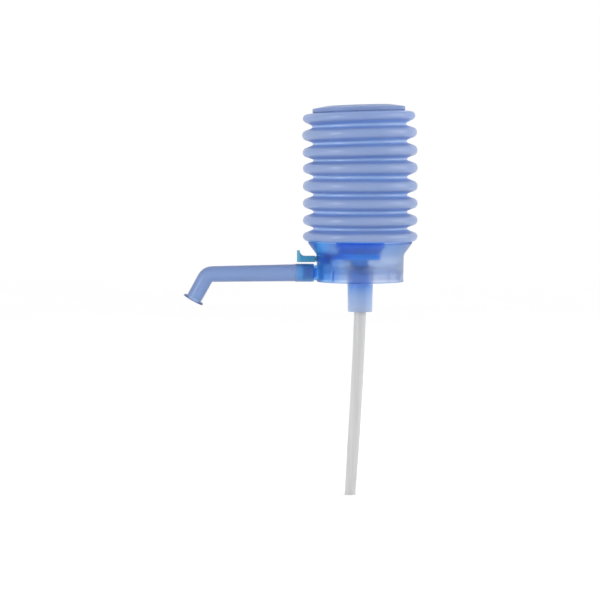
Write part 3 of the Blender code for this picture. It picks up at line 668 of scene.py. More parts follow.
def nipple_shape():
    """Outside of the nipple, with its neck, ring groove and snap bead."""
    groove = nipple_reach - ring_setback
    bead_end = nipple_reach - nipple_bead_setback
    groove_radius = nipple_radius - ring_groove_depth
    bead_radius = nipple_radius + nipple_bead_rise
    soft = 0.2 * MM
    neck_radius = nipple_radius + nipple_shoulder
    corners = [
        (neck_radius, pad_outer - overrun, 0),
        (neck_radius, skirt_radius - soft, nipple_root_soft_edge),
        (neck_radius, nipple_neck_reach, soft),
        (nipple_radius, nipple_neck_reach, 0),
        (nipple_radius, groove - ring_groove_width / 2, 0),
        (groove_radius, groove - ring_groove_width / 2, 0),
        (groove_radius, groove + ring_groove_width / 2, 0),
        (nipple_radius, groove + ring_groove_width / 2, 0),
        (nipple_radius, bead_end - nipple_bead_width, soft),
        (bead_radius, bead_end - nipple_bead_width / 2, soft),
        (bead_radius, bead_end, soft),
        (nipple_radius, bead_end + nipple_bead_width / 2, soft),
        (nipple_radius, nipple_reach, 0),
    ]
    return bar(softened(corners, closed=False), tube_sides)


def nipple_bore_shape():
    """The bore that ends in the nipple's mouth."""
    return bar([(nipple_bore_radius, nipple_bore_start), (nipple_bore_radius, nipple_reach + overrun)])


def tap_bore_shape():
    """The bore of the tap's boss and the hole of its shaft."""
    shaft_hole = shaft_radius + shaft_hole_gap
    outline = [
        (tap_bore_radius, tap_bore_start - overrun),
        (tap_bore_radius, tap_bore_end),
        (shaft_hole, tap_bore_end),
        (shaft_hole, skirt_radius + overrun),
    ]
    return bar(outline)


def downcomer_shape():
    """The slot that leads from the tap down to the nipple, and its place."""
    top = Vector((-port_reach - slot_top_shift, 0, tap_z - tap_bore_radius))
    foot = Vector((-slot_foot_reach, 0, nipple_z + nipple_bore_radius))
    way = top - foot
    half_length = way.length / 2 + slot_overrun
    slot = block(
        (-slot_thickness / 2, -slot_width / 2, -half_length),
        (slot_thickness / 2, slot_width / 2, half_length),
    )
    return slot, placed((top + foot) / 2, math.atan2(way.x, way.z))


# Deck, gasket, riser and sleeve


def make_valve_deck(material):
    """Deck over the bottle's mouth, with the air chamber, the water column and the duct."""
    plate_seat = plate_z - seat_gap
    soft = 0.3 * MM
    corners = [
        (column_radius, deck_z, 0),
        (deck_radius, deck_z, soft),
        (deck_radius, deck_top_z, soft),
        (chamber_outer_radius, deck_top_z, chamber_soft_edge),
        (chamber_outer_radius, chamber_top_z, soft),
        (chamber_bore + plate_lip / 2, chamber_top_z, soft),
        (chamber_bore + plate_lip / 2, plate_seat, 0),
        (chamber_bore - plate_lip / 2, plate_seat, 0),
        (chamber_bore - plate_lip, plate_seat - plate_lip, 0),
        (chamber_bore, plate_seat - 2 * plate_lip, 0),
        (chamber_bore, deck_top_z, 0),
        (column_radius, deck_top_z, 0),
    ]
    deck = mesh_object("deck", turned(softened(corners), inner_sides))

    column_top = tap_z + duct_bore_radius + column_roof
    column = bar(
        [
            (stub_radius, deck_z - stub_length),
            (stub_radius, deck_z + deck_thickness / 2),
            (column_radius, deck_top_z),
            (column_radius, column_top),
        ]
    )
    duct_end = tap_bore_start - washer_thickness - 2 * seat_gap
    spigot_radius = tap_bore_radius - seat_gap
    duct = bar(
        [
            (duct_radius, column_bore_radius),
            (duct_radius, duct_end),
            (spigot_radius, duct_end),
            (spigot_radius, tap_bore_start + spigot_length),
        ]
    )
    riser_bore = riser_top_radius + seat_gap
    riser_stop = deck_z - stub_length + riser_socket_depth
    column_bore = bar(
        [
            (riser_bore, deck_z - stub_length - overrun),
            (riser_bore, riser_stop),
            (column_bore_radius, riser_stop),
            (column_bore_radius, column_top - column_roof),
        ]
    )
    duct_bore_end = tap_bore_start + spigot_length + overrun
    duct_bore = bar([(duct_bore_radius, 0), (duct_bore_radius, duct_bore_end)])
    hole_ring = (sleeve_top_radius + chamber_bore) / 2
    low = deck_z - overrun
    high = deck_top_z + overrun
    holes = round_pattern(air_hole_count, hole_ring, air_hole_radius, low, high)
    notch = block(
        (-deck_radius - overrun, -pad_width / 2 - seat_gap, low),
        (-upper_pad_inner + seat_gap, pad_width / 2 + seat_gap, high),
    )
    carve(
        deck,
        [
            ("UNION", column, None),
            ("UNION", duct, along_minus_x(0, tap_z)),
            ("DIFFERENCE", column_bore, None),
            ("DIFFERENCE", duct_bore, along_minus_x(0, tap_z)),
            ("DIFFERENCE", holes, None),
            ("DIFFERENCE", notch, None),
        ],
    )
    return finish_piece(deck, "valve_deck", "pump_head", material)


def make_neck_gasket(material):
    """Flat ring that the bottle's mouth presses against the deck, with rounded edges."""
    soft = 0.5 * MM
    corners = [
        (gasket_inner_radius, 0, soft),
        (gasket_outer_radius, 0, soft),
        (gasket_outer_radius, gasket_thickness, soft),
        (gasket_inner_radius, gasket_thickness, soft),
    ]
    gasket = mesh_object("gasket", turned(softened(corners), inner_sides))
    return finish_piece(gasket, "neck_gasket", "pump_head", material)


def make_riser_sleeve(material):
    """Tapered sleeve that hides the top of the riser tube."""
    top = deck_z - seat_gap
    bore = stub_radius + seat_gap
    riser_hole = riser_top_radius + seat_gap
    soft = 0.4 * MM
    corners = [
        (riser_hole, sleeve_foot_z, soft),
        (sleeve_foot_radius, sleeve_foot_z, soft),
        (sleeve_top_radius, top, soft),
        (bore, top, 0),
        (bore, sleeve_foot_z + sleeve_floor, soft),
        (riser_hole, sleeve_foot_z + sleeve_floor, 0),
    ]
    sleeve = mesh_object("sleeve", turned(softened(corners), inner_sides))
    return finish_piece(sleeve, "riser_sleeve", "pump_head", material)


def riser_station(depth):
    """Centre, angle and outer radius of the riser tube at a depth below its top."""
    bend_start = riser_top_z - (sleeve_foot_z + sleeve_floor)
    length = riser_top_z - riser_foot_z
    bend_length = length - bend_start
    below = max(0.0, depth - bend_start)
    power = riser_lean_power
    aside = riser_lean * (below / bend_length) ** power
    slope = riser_lean / bend_length * power * (below / bend_length) ** (power - 1) if below else 0.0
    taper = max(0.0, (depth - (length - riser_taper_length)) / riser_taper_length)
    radius = riser_top_radius + (riser_foot_radius - riser_top_radius) * taper
    return Vector((aside, 0, depth)), -math.atan(slope), radius


def make_riser_tube(material):
    """Milky tube that reaches down into the bottle and curls a little to -X."""
    length = riser_top_z - riser_foot_z
    depths = [length * step / riser_steps for step in range(riser_steps + 1)]
    outside = [riser_station(depth) for depth in depths]
    inside = [(centre, angle, radius - riser_wall) for centre, angle, radius in reversed(outside)]
    place = Matrix.Translation((0, 0, riser_top_z)) @ Matrix.Rotation(math.pi, 4, "Y")
    tube = mesh_object("riser", swept(outside + inside, small_sides), place)
    return finish_piece(tube, "riser_tube", "pump_head", material)


# Bellows


def settling(height):
    """How far the soft bellows has settled at a height, between the values of its ribs."""
    step = (height - bellows_z - foot_rib_height) / rib_pitch
    levels = [0.0, *rib_settling, 0.0]
    # It stays just below the last level, so that there is always a next one.
    place = min(max(step + 1, 0.0), len(levels) - 1.001)
    index = int(place)
    share = place - index
    return (levels[index] * (1 - share) + levels[index + 1] * share) * MM


def bellows_outline():
    """Outside of the bellows from its neck to its collar, each rib a round tip on two straight flanks."""
    neck = chamber_outer_radius + seat_gap + valley_wall
    collar = cap_radius - cap_wall - 2 * seat_gap
    half_valley = valley_width / 2
    soft = 0.7 * MM
    corners = [(neck, bellows_z - bellows_neck_length, 0), (neck, bellows_z, 0)]
    lower = (foot_radius, bellows_z)
    for rib in range(rib_count):
        last = rib == rib_count - 1
        crest = top_rib_radius if last else rib_radius
        tip = edge_rib_tip_radius if last or rib == 0 else rib_tip_radius
        centre = (crest - tip, bellows_z + foot_rib_height + rib * rib_pitch)
        upper = (valley_radius, centre[1] + rib_pitch / 2 - half_valley)
        if last:
            upper = (cap_radius, head_z)
        start = tangent_angle(centre, tip, lower, -1)
        end = tangent_angle(centre, tip, upper, 1)
        corners.append((*lower, soft))
        corners.extend((*point, 0) for point in arc(centre, tip, start, end, arc_steps))
        corners.append((*upper, 0 if last else soft))
        lower = (valley_radius, upper[1] + valley_width)
    corners.append((collar, head_z, 0))
    corners.append((collar, head_z + top_collar_height, 0))
    return softened(corners, closed=False)


def rib_share(radius):
    """How far out on a rib a radius lies, from 0 in the valley to 1 at the crest."""
    return min(1.0, max(0.0, (radius - valley_radius) / (rib_radius - valley_radius)))


def wall_at(radius):
    """Thickness of the bellows' wall, which blowing stretches thinner towards the rib's tip."""
    return valley_wall + (tip_wall - valley_wall) * rib_share(radius)


def make_bellows(material):
    """Ribbed bellows, open at its neck and collar, leaning a little to -X at the top."""
    plain = bellows_outline()
    inside = offset_outline(plain, wall_at)
    collar, top = plain[-1]
    bead_top = top - collar_bead_height / 2
    outside = plain[:-1] + [
        (collar, bead_top - 2 * collar_bead_height),
        (collar + collar_bead_depth, bead_top - collar_bead_height * 1.5),
        (collar + collar_bead_depth, bead_top - collar_bead_height / 2),
        (collar, bead_top),
        plain[-1],
    ]
    shape = turned(outside + list(reversed(inside)), bellows_sides)
    for vertex in shape.verts:
        point = vertex.co
        radius = math.hypot(point.x, point.y)
        slow = Vector((point.x / (2 * rib_radius), point.y / (2 * rib_radius), point.z / rib_pitch))
        drift = noise.noise(slow) * bellows_unevenness * rib_share(radius)
        on_line = abs(point.y) < MM and valley_radius < radius
        if on_line:
            point.x *= 1 + mould_line_height / radius
        height = point.z
        angle = top_lean * lean_share(height)
        point.z += point.x * math.sin(angle) + drift - settling(height)
        point.x = point.x * math.cos(angle) - sway(height)
    bellows = mesh_object("bellows_skin", shape)
    finish_piece(bellows, "bellows", "pump_head", material, bellows_sharp_angle)
    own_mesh(bellows)
    return bellows


# Cap with the inlet valve


def make_press_cap(material):
    """Stepped cap on the bellows' collar, with a hole for the inlet valve's seat."""
    lip = cap_radius - cap_wall - seat_gap
    groove = lip + collar_bead_depth
    roof = top_collar_height + seat_gap
    soft = 0.35 * MM
    shoulder_centre = (cap_radius - cap_shoulder, cap_side_height)
    shoulder = arc(shoulder_centre, cap_shoulder, 0, math.pi / 2, arc_steps)
    corners = [
        (cap_radius, seat_gap, soft),
        *((*point, 0) for point in shoulder),
        (cap_crown_radius, cap_crown_z, crown_soft_edge),
        (cap_hole_radius, cap_crown_z, soft),
        (cap_hole_radius, cap_crown_z - cap_wall, 0),
        (cap_crown_radius, cap_crown_z - cap_wall, crown_inner_soft_edge),
        (groove, roof, soft),
        (groove, seat_gap + cap_lip_height + collar_bead_height / 2, 0),
        (lip, seat_gap + cap_lip_height, 0),
        (lip, seat_gap, 0),
    ]
    cap = mesh_object("cap", turned(softened(corners), bellows_sides), head_place)
    return finish_piece(cap, "press_cap", "press_head", material)


def make_inlet_valve_seat(material):
    """Hub in the middle of the cap, with a dish, a web with air holes and a guard ring."""
    hub = cap_hole_radius - seat_gap
    flange_z = cap_crown_z - cap_wall - seat_gap
    web_z = cap_crown_z - seat_dish_depth - seat_web_thickness
    hole = valve_stem_radius + running_gap
    soft = 0.3 * MM
    corners = [
        (hole, web_z, 0),
        (seat_flange_radius - seat_hub_wall, web_z, 0),
        (seat_flange_radius - seat_hub_wall, web_z - seat_guard_height, soft),
        (seat_flange_radius, web_z - seat_guard_height, soft),
        (seat_flange_radius, flange_z, soft),
        (hub, flange_z, 0),
        (hub, cap_crown_z, soft),
        (hub - seat_hub_wall, cap_crown_z, soft),
        (hub - seat_hub_wall, web_z + seat_web_thickness, soft),
        (hole, web_z + seat_web_thickness, 0),
    ]
    seat = mesh_object("inlet_seat", turned(softened(corners), inner_sides), head_place)
    ring = (inlet_valve_radius + hole) / 2
    low = web_z - overrun
    high = web_z + seat_web_thickness + overrun
    holes = round_pattern(inlet_hole_count, ring, inlet_hole_radius, low, high)
    carve(seat, [("DIFFERENCE", holes, head_place)])
    return finish_piece(seat, "inlet_valve_seat", "press_head", material)


def umbrella(disc_radius, web):
    """A valve's disc, stem and bulb, with its origin on the disc's sealing face."""
    bulb = seat_gap + web + valve_lift + running_gap
    soft = 0.4 * MM
    corners = [
        (disc_radius / 6, -valve_disc_thickness, 0),
        (disc_radius / 3, -valve_disc_thickness, soft),
        (disc_radius, -valve_edge_thickness, soft / 2),
        (disc_radius, 0, 0),
        (valve_stem_radius, 0, 0),
        (valve_stem_radius, bulb, 0),
        (valve_bulb_radius, bulb, soft),
        (valve_bulb_radius, bulb + valve_bulb_height / 2, soft),
        (valve_stem_radius / 2, bulb + valve_bulb_height, 0),
    ]
    return bar(softened(corners, closed=False))


def make_inlet_valve(material):
    """Umbrella valve that lets outside air into the bellows."""
    height = cap_crown_z - seat_dish_depth - seat_web_thickness - seat_gap
    shape = umbrella(inlet_valve_radius, seat_web_thickness)
    valve = mesh_object("inlet_umbrella", shape, head_place @ Matrix.Translation((0, 0, height)))
    return finish_piece(valve, "inlet_valve", "inlet_disc", material)


# Tap


def make_tap_plug(material):
    """Hollow plug with a port, and a shaft through the skirt with a square end."""
    radius = tap_bore_radius - running_gap
    length = plug_end - plug_start
    shaft_end = handle_start - seat_gap - plug_start
    soft = 0.2 * MM
    corners = [
        (radius, 0, 0),
        (radius, length, soft),
        (shaft_radius, length, 0),
        (shaft_radius, shaft_end, 0),
    ]
    place = along_minus_x(plug_start, tap_z)
    plug = mesh_object("plug", bar(softened(corners, closed=False)), place)
    drive = square_bar(drive_width, length, handle_start + drive_length - plug_start)
    bore_radius = radius - plug_wall
    bore = bar([(bore_radius, -overrun), (bore_radius, length - plug_end_wall)], hole_sides)
    port_z = port_reach - plug_start
    port = block(
        (-radius - overrun, -plug_port_width / 2, port_z - plug_port_length / 2),
        (0, plug_port_width / 2, port_z + plug_port_length / 2),
    )
    carve(plug, [("UNION", drive, place), ("DIFFERENCE", bore, place), ("DIFFERENCE", port, place)])
    return finish_piece(plug, "tap_plug", "tap", material)


def make_tap_handle(material):
    """Handle with an upturned end, all its edges rounded."""
    low = handle_start - plug_start
    tip = handle_reach - plug_start
    centre = (shaft_radius + handle_fillet, tip - handle_plate - handle_fillet)
    side_view = [
        (-shaft_radius, low),
        (-shaft_radius, tip),
        (handle_rise, tip),
        (handle_rise, tip - handle_plate),
        *arc(centre, handle_fillet, math.pi / 2, math.pi, arc_steps),
        (shaft_radius, low),
    ]
    place = along_minus_x(plug_start, tap_z)
    handle = mesh_object("handle", extruded(side_view, handle_width), place)
    bevel = handle.modifiers.new("soft_edges", "BEVEL")
    bevel.width = handle_soft_edge
    bevel.segments = soft_steps
    bevel.limit_method = "ANGLE"
    bevel.angle_limit = bevel_angle
    bake(handle)
    socket_end = low + drive_length + seat_gap
    socket = square_bar(drive_width + 2 * seat_gap, low - overrun, socket_end)
    carve(handle, [("DIFFERENCE", socket, place)])
    return finish_piece(handle, "tap_handle", "tap", material)


# Spout


def straight_stations(start, angle, outline):
    """Stations of a straight stretch of tube, from (radius, distance) points along it."""
    along = along_at(angle)
    return [(start + along * distance, angle, radius) for radius, distance in outline]


def spout_stations(root, bend, end):
    """Stations of the spout's tube from the collar's end to the lip, for three radii."""
    start = Vector((0, 0, collar_length))
    along = along_at(spout_droop)
    turn = spout_turn - spout_droop
    corner = start + along * ((spout_run - collar_length) / along.z)
    bend_start = corner - along * (spout_centre_bend * math.tan(turn / 2))
    middle = bend_start - across_at(spout_droop) * spout_centre_bend
    stations = []
    for step in range(run_steps):
        share = step / run_steps
        stations.append((start.lerp(bend_start, share), spout_droop, root + (bend - root) * share))
    for step in range(bend_steps + 1):
        angle = spout_droop + turn * step / bend_steps
        stations.append((middle + across_at(angle) * spout_centre_bend, angle, bend))
    leg_end = corner + along_at(spout_turn) * (spout_leg - lip_thickness)
    stations.append((leg_end, spout_turn, end))
    return stations


def make_spout(material):
    """Spout: collar on the nipple, long tapered tube, elbow and belled lip."""
    bore = nipple_radius + running_gap
    groove = bore + nipple_bead_rise
    bead_end = nipple_reach - nipple_bead_setback
    groove_start = bead_end - nipple_bead_width - running_gap - spout_start
    groove_end = bead_end + nipple_bead_width / 2 + running_gap - spout_start
    bore_end = nipple_reach + seat_gap - spout_start
    soft = collar_soft_edge

    radii = (spout_root_radius, spout_bend_radius, spout_end_radius)
    tube = spout_stations(*radii)
    inner = spout_stations(*(radius - spout_wall for radius in radii))
    collar = softened(
        [
            (bore, 0, 0),
            (collar_radius, 0, soft),
            (collar_radius, collar_length, soft),
            (spout_root_radius, collar_length + soft, soft),
            (spout_root_radius, collar_length + 2 * soft, 0),
        ],
        closed=False,
    )
    inner_end = spout_end_radius - spout_wall
    lip = softened(
        [
            (spout_end_radius, -lip_thickness, 0),
            (spout_end_radius, -lip_thickness / 3, lip_root_soft_edge),
            (lip_radius - lip_bell, 0, lip_bell_soft_edge),
            (lip_radius, lip_thickness / 2, lip_soft_edge),
            (lip_radius - lip_bell / 2, lip_thickness, lip_soft_edge),
            (inner_end + lip_bell, lip_thickness, lip_soft_edge),
            (inner_end, -lip_thickness, 0),
        ],
        closed=False,
    )
    mouth = [
        (bore, bore_end),
        (bore, groove_end),
        (groove, groove_end - nipple_bead_width / 2),
        (groove, groove_start + nipple_bead_width / 2),
        (bore, groove_start),
        (bore, 0),
    ]
    outside = straight_stations(Vector(), 0.0, collar[1:-1]) + tube[1:]
    outside += straight_stations(tube[-1][0], spout_turn, lip[1:])
    inside = [*reversed(inner[:-1]), *straight_stations(Vector(), 0.0, mouth)]
    place = along_minus_x(spout_start, nipple_z)
    spout = mesh_object("spout_tube", swept(outside + inside, tube_sides), place)
    return finish_piece(spout, "spout", "spout_arm", material)


# Materials


def add_node(tree, kind, **settings):
    """A node with its settings."""
    node = tree.nodes.new(kind)
    for name, value in settings.items():
        setattr(node, name, value)
    return node


def ramp(tree, source, stops):
    """A colour ramp over a number."""
    node = add_node(tree, "ShaderNodeValToRGB")
    elements = node.color_ramp.elements
    while len(elements) < len(stops):
        elements.new(0.5)
    for element, (position, colour) in zip(elements, stops):
        element.position = position
        element.color = (*colour, 1.0)
    tree.links.new(source, node.inputs["Fac"])
    return node.outputs["Color"]


def noise_value(tree, scale, detail, stretch=(1, 1, 1)):
    """Noise over the pump's own coordinates, stretched along an axis where wanted."""
    place = add_node(tree, "ShaderNodeTexCoord")
    mapping = add_node(tree, "ShaderNodeMapping")
    mapping.inputs["Scale"].default_value = stretch
    tree.links.new(place.outputs["Object"], mapping.inputs["Vector"])
    texture = add_node(tree, "ShaderNodeTexNoise")
    texture.inputs["Scale"].default_value = scale
    texture.inputs["Detail"].default_value = detail
    tree.links.new(mapping.outputs["Vector"], texture.inputs["Vector"])
    return texture.outputs["Fac"]


def axis_radius(tree):
    """Distance from the pump's axis, in metres."""
    place = add_node(tree, "ShaderNodeTexCoord")
    flat = add_node(tree, "ShaderNodeVectorMath", operation="MULTIPLY")
    flat.inputs[1].default_value = (1, 1, 0)
    tree.links.new(place.outputs["Object"], flat.inputs[0])
    length = add_node(tree, "ShaderNodeVectorMath", operation="LENGTH")
    tree.links.new(flat.outputs["Vector"], length.inputs[0])
    return length.outputs["Value"]


def place_along(tree, axis):
    """Place along X, negative on the spout's side, or along Z, above the bottle's mouth, in metres."""
    place = add_node(tree, "ShaderNodeTexCoord")
    split = add_node(tree, "ShaderNodeSeparateXYZ")
    tree.links.new(place.outputs["Object"], split.inputs["Vector"])
    return split.outputs[axis]


def mapped(tree, source, span, result=(0.0, 1.0)):
    """The number carried over from one span to another, and kept inside it."""
    node = add_node(tree, "ShaderNodeMapRange", clamp=True)
    limits = ("From Min", "From Max", "To Min", "To Max")
    for name, value in zip(limits, (*span, *result)):
        node.inputs[name].default_value = value
    tree.links.new(source, node.inputs["Value"])
    return node.outputs["Result"]


def joined(tree, operation, first, second):
    """Two numbers joined by a math operation. The second is a socket or a value."""
    node = add_node(tree, "ShaderNodeMath", operation=operation)
    tree.links.new(first, node.inputs[0])
    if isinstance(second, float):
        node.inputs[1].default_value = second
    else:
        tree.links.new(second, node.inputs[1])
    return node.outputs["Value"]


def blended(tree, factor, first, second):
    """Two colours mixed by a number. A colour is a socket or three numbers."""
    node = add_node(tree, "ShaderNodeMix", data_type="RGBA")
    tree.links.new(factor, node.inputs["Factor"])
    for socket, colour in ((node.inputs[6], first), (node.inputs[7], second)):
        if isinstance(colour, tuple):
            socket.default_value = (*colour, 1.0)
        else:
            tree.links.new(colour, socket)
    return node.outputs[2]


def changed(tree, source, span, first, second):
    """A colour that changes into another over a span of a number."""
    return blended(tree, mapped(tree, source, span), first, second)


def clouded(tree, colour, other, scale, share):
    """A colour with soft clouds of another in it, as where a moulded wall runs thicker."""
    cloud = mapped(tree, noise_value(tree, scale, cloud_detail), cloud_span)
    return blended(tree, joined(tree, "MULTIPLY", cloud, share), colour, other)


def new_material(name):
    """A plain Principled material, with its tree and shader."""
    material = bpy.data.materials.new(name)
    material.use_nodes = True
    return material, material.node_tree, material.node_tree.nodes["Principled BSDF"]


def make_plastic(
    name, paint, transmission, roughness, grain, ior=1.5, coat=0.0, stretch=(1, 1, 1), absorption=None
):
    """A moulded plastic with a painted base colour, hazy gloss and a fine grain.

    The transmission is a number or a function like a paint. The grain is its scale and its depth, and
    the absorption is the colour and the density that tint light by how far it goes through the wall.
    """
    material, tree, shader = new_material(name)
    tree.links.new(paint(tree), shader.inputs["Base Color"])
    shader.inputs["IOR"].default_value = ior
    shader.inputs["Coat Weight"].default_value = coat
    shader.inputs["Coat Roughness"].default_value = coat_roughness
    if callable(transmission):
        tree.links.new(transmission(tree), shader.inputs["Transmission Weight"])
    else:
        shader.inputs["Transmission Weight"].default_value = transmission
    haze = noise_value(tree, haze_scale, haze_detail, stretch)
    tree.links.new(mapped(tree, haze, noise_span, roughness), shader.inputs["Roughness"])
    grain_scale, grain_depth = grain
    bump = add_node(tree, "ShaderNodeBump")
    bump.inputs["Strength"].default_value = bump_strength
    bump.inputs["Distance"].default_value = grain_depth
    tree.links.new(noise_value(tree, grain_scale, grain_detail, stretch), bump.inputs["Height"])
    tree.links.new(bump.outputs["Normal"], shader.inputs["Normal"])
    if absorption:
        colour, density = absorption
        volume = add_node(tree, "ShaderNodeVolumeAbsorption")
        volume.inputs["Color"].default_value = (*colour, 1.0)
        volume.inputs["Density"].default_value = density
        output = next(node for node in tree.nodes if node.type == "OUTPUT_MATERIAL")
        tree.links.new(volume.outputs["Volume"], output.inputs["Volume"])
    return material


def paint_bellows_tone_light_and_shade(tree):
    """Bright blue on the valley's floor, deep blue on the steep flanks and lavender on the ribs: the
    plastic's own tone, deeper where the wall is thicker, with painted light on the valley's floor and
    painted shade on the flanks.
    """
    # Partly the wall's own tone by its thickness, partly painted light and painted shade in the valleys.
    colour = ramp(
        tree,
        mapped(tree, axis_radius(tree), bellows_tone_and_shade_span),
        [
            # Painted light: the valley's floor is made bright against the shade that the ribs cast into it.
            (0.0, (0.46, 0.66, 1.0)),
            (0.11, (0.44, 0.64, 1.0)),
            # Painted shade: the deep blue low on the steep flanks stands in for the dark lines at the
            # valley's edges.
            (0.20, (0.24, 0.44, 0.92)),
            (0.38, (0.24, 0.42, 0.88)),
            (0.60, (0.265, 0.395, 0.745)),
            (1.0, (0.29, 0.405, 0.675)),
        ],
    )
    colour = changed(tree, place_along(tree, "Z"), bellows_foot_span, colour, (0.10, 0.30, 0.85))
    return clouded(tree, colour, (0.42, 0.50, 0.76), 26.0, 0.2)


def paint_body(tree):
    """Pale at the skirt, bluer up in the cone, and deep blue round the tap's boss and the nipple."""
    height = place_along(tree, "Z")
    along = place_along(tree, "X")
    colour = ramp(
        tree,
        mapped(tree, height, body_height_span),
        [
            (0.0, (0.65, 0.72, 0.87)),
            (0.5, (0.65, 0.73, 0.87)),
            (0.72, (0.50, 0.64, 0.85)),
            (0.94, (0.45, 0.60, 0.84)),
            (1.0, (0.22, 0.42, 0.85)),
        ],
    )
    reach = mapped(tree, along, thick_reach_span)
    thick = joined(tree, "MULTIPLY", reach, mapped(tree, height, thick_height_span))
    colour = blended(tree, thick, colour, (0.26, 0.50, 0.86))
    colour = changed(tree, along, boss_span, colour, (0.26, 0.64, 1.0))
    colour = changed(tree, along, nipple_neck_span, colour, (0.10, 0.36, 0.80))
    colour = changed(tree, height, foot_edge_span, colour, (0.38, 0.52, 0.85))
    return clouded(tree, colour, (0.66, 0.76, 0.98), 30.0, 0.15)


def paint_sleeve(tree):
    """Pale in the socket, deep blue just below it and paler again down to the open foot."""
    colour = ramp(
        tree,
        mapped(tree, place_along(tree, "Z"), sleeve_height_span),
        [
            (0.0, (0.61, 0.71, 0.89)),
            (0.45, (0.45, 0.63, 0.91)),
            (0.72, (0.22, 0.52, 0.95)),
            (0.86, (0.80, 0.88, 1.0)),
        ],
    )
    return clouded(tree, colour, (0.66, 0.76, 0.94), 40.0, 0.2)


def sleeve_clearness(tree):
    """The sleeve is milky below the skirt and clearer inside it."""
    return mapped(tree, place_along(tree, "Z"), skirt_mouth_span, sleeve_transmission)


def paint_spout(tree):
    """An even blue, deeper at the collar."""
    along = place_along(tree, "X")
    colour = changed(tree, along, spout_collar_span, (0.67, 0.78, 0.89), (0.27, 0.74, 1.0))
    return clouded(tree, colour, (0.70, 0.79, 0.96), 40.0, 0.3)


def deck_mass(tree):
    """Where the deck is thick, from 0 at its thin plate to 1 at the air chamber and the column."""
    chamber = mapped(tree, place_along(tree, "Z"), chamber_foot_span)
    column = mapped(tree, axis_radius(tree), column_wall_span)
    return joined(tree, "MAXIMUM", chamber, column)


def deck_clearness(tree):
    """The deck lets light through where it is thin."""
    return mapped(tree, deck_mass(tree), (0.0, 1.0), deck_transmission)


def paint_deck(tree):
    """Deep blue at the air chamber and the column, and pale where it is one thin plate."""
    colour = blended(tree, deck_mass(tree), (0.96, 0.98, 1.0), (0.03, 0.45, 1.0))
    return clouded(tree, colour, (0.20, 0.45, 0.95), 40.0, 0.04)


def paint_teal(tree):
    """Teal of the tap, paler at the upturned end, and blue in the barrel behind the skirt."""
    along = place_along(tree, "X")
    colour = changed(tree, along, handle_tip_span, (0.014, 0.22, 0.42), (0.10, 0.36, 0.52))
    colour = changed(tree, along, plug_barrel_span, colour, (0.10, 0.55, 0.98))
    return clouded(tree, colour, (0.05, 0.30, 0.48), 180.0, 0.4)


def paint_riser(tree):
    """Milky grey, with faint lines that run along the tube, and pale inside the sleeve."""
    lines = noise_value(tree, riser_line_scale, cloud_detail, riser_line_stretch)
    colour = changed(tree, lines, noise_span, (0.62, 0.62, 0.62), (0.71, 0.71, 0.71))
    return changed(tree, place_along(tree, "Z"), sleeved_riser_span, colour, (0.90, 0.94, 1.0))


def even_paint(colour, other, scale, share):
    """A paint of one colour, with soft clouds of another."""
    return lambda tree: clouded(tree, colour, other, scale, share)


# Stage


def make_floor():
    """A pale floor that curves up into a backdrop."""
    near = -3.5
    back = 2.2
    curve = 1.2
    curve_steps = 24
    wall_top = 4.0
    half_width = 5.0
    rounding = arc((back, riser_foot_z + curve), curve, -math.pi / 2, 0, curve_steps)
    outline = [(near, riser_foot_z), *rounding, (back + curve, wall_top)]
    shape = bmesh.new()
    rows = []
    for along, up in outline:
        rows.append([shape.verts.new((side * half_width, along, up)) for side in (-1, 1)])
    for here, there in zip(rows, rows[1:]):
        shape.faces.new((here[0], here[1], there[1], there[0]))
    floor = mesh_object("floor_sweep", shape)
    floor.data.shade_smooth()
    material, tree, shader = new_material("pale_paper")
    cloud = noise_value(tree, paper_cloud_scale, paper_cloud_detail)
    colour = changed(tree, cloud, noise_span, (0.95, 0.95, 0.95), (0.97, 0.97, 0.97))
    tree.links.new(colour, shader.inputs["Base Color"])
    shader.inputs["Roughness"].default_value = paper_roughness
    floor.data.materials.append(material)


def add_softbox(name, azimuth, elevation, distance, width, height, watts):
    """A rectangular light that faces the pump, from an azimuth and an elevation in degrees."""
    aim = Vector((-0.03, 0, 0.02))
    turn = math.radians(azimuth)
    rise = math.radians(elevation)
    back = Vector((math.sin(turn) * math.cos(rise), -math.cos(turn) * math.cos(rise), math.sin(rise)))
    data = bpy.data.lights.new(name, "AREA")
    data.shape = "RECTANGLE"
    data.size = width
    data.size_y = height
    data.energy = watts
    light = bpy.data.objects.new(name, data)
    light.location = aim + back * distance
    light.rotation_mode = "QUATERNION"
    light.rotation_quaternion = (-back).to_track_quat("-Z", "Y")
    bpy.context.scene.collection.objects.link(light)


def make_light():
    """White room light and soft boxes, as in a light tent."""
    world = bpy.data.worlds.new("white_room")
    world.use_nodes = True
    background = world.node_tree.nodes["Background"]
    background.inputs["Color"].default_value = (1.0, 1.0, 1.0, 1.0)
    background.inputs["Strength"].default_value = 1.0
    bpy.context.scene.world = world
    add_softbox("key_box", -50, 12, distance=1.5, width=0.3, height=0.8, watts=8.0)
    add_softbox("side_box", 82, 10, distance=1.6, width=1.2, height=1.6, watts=15.0)


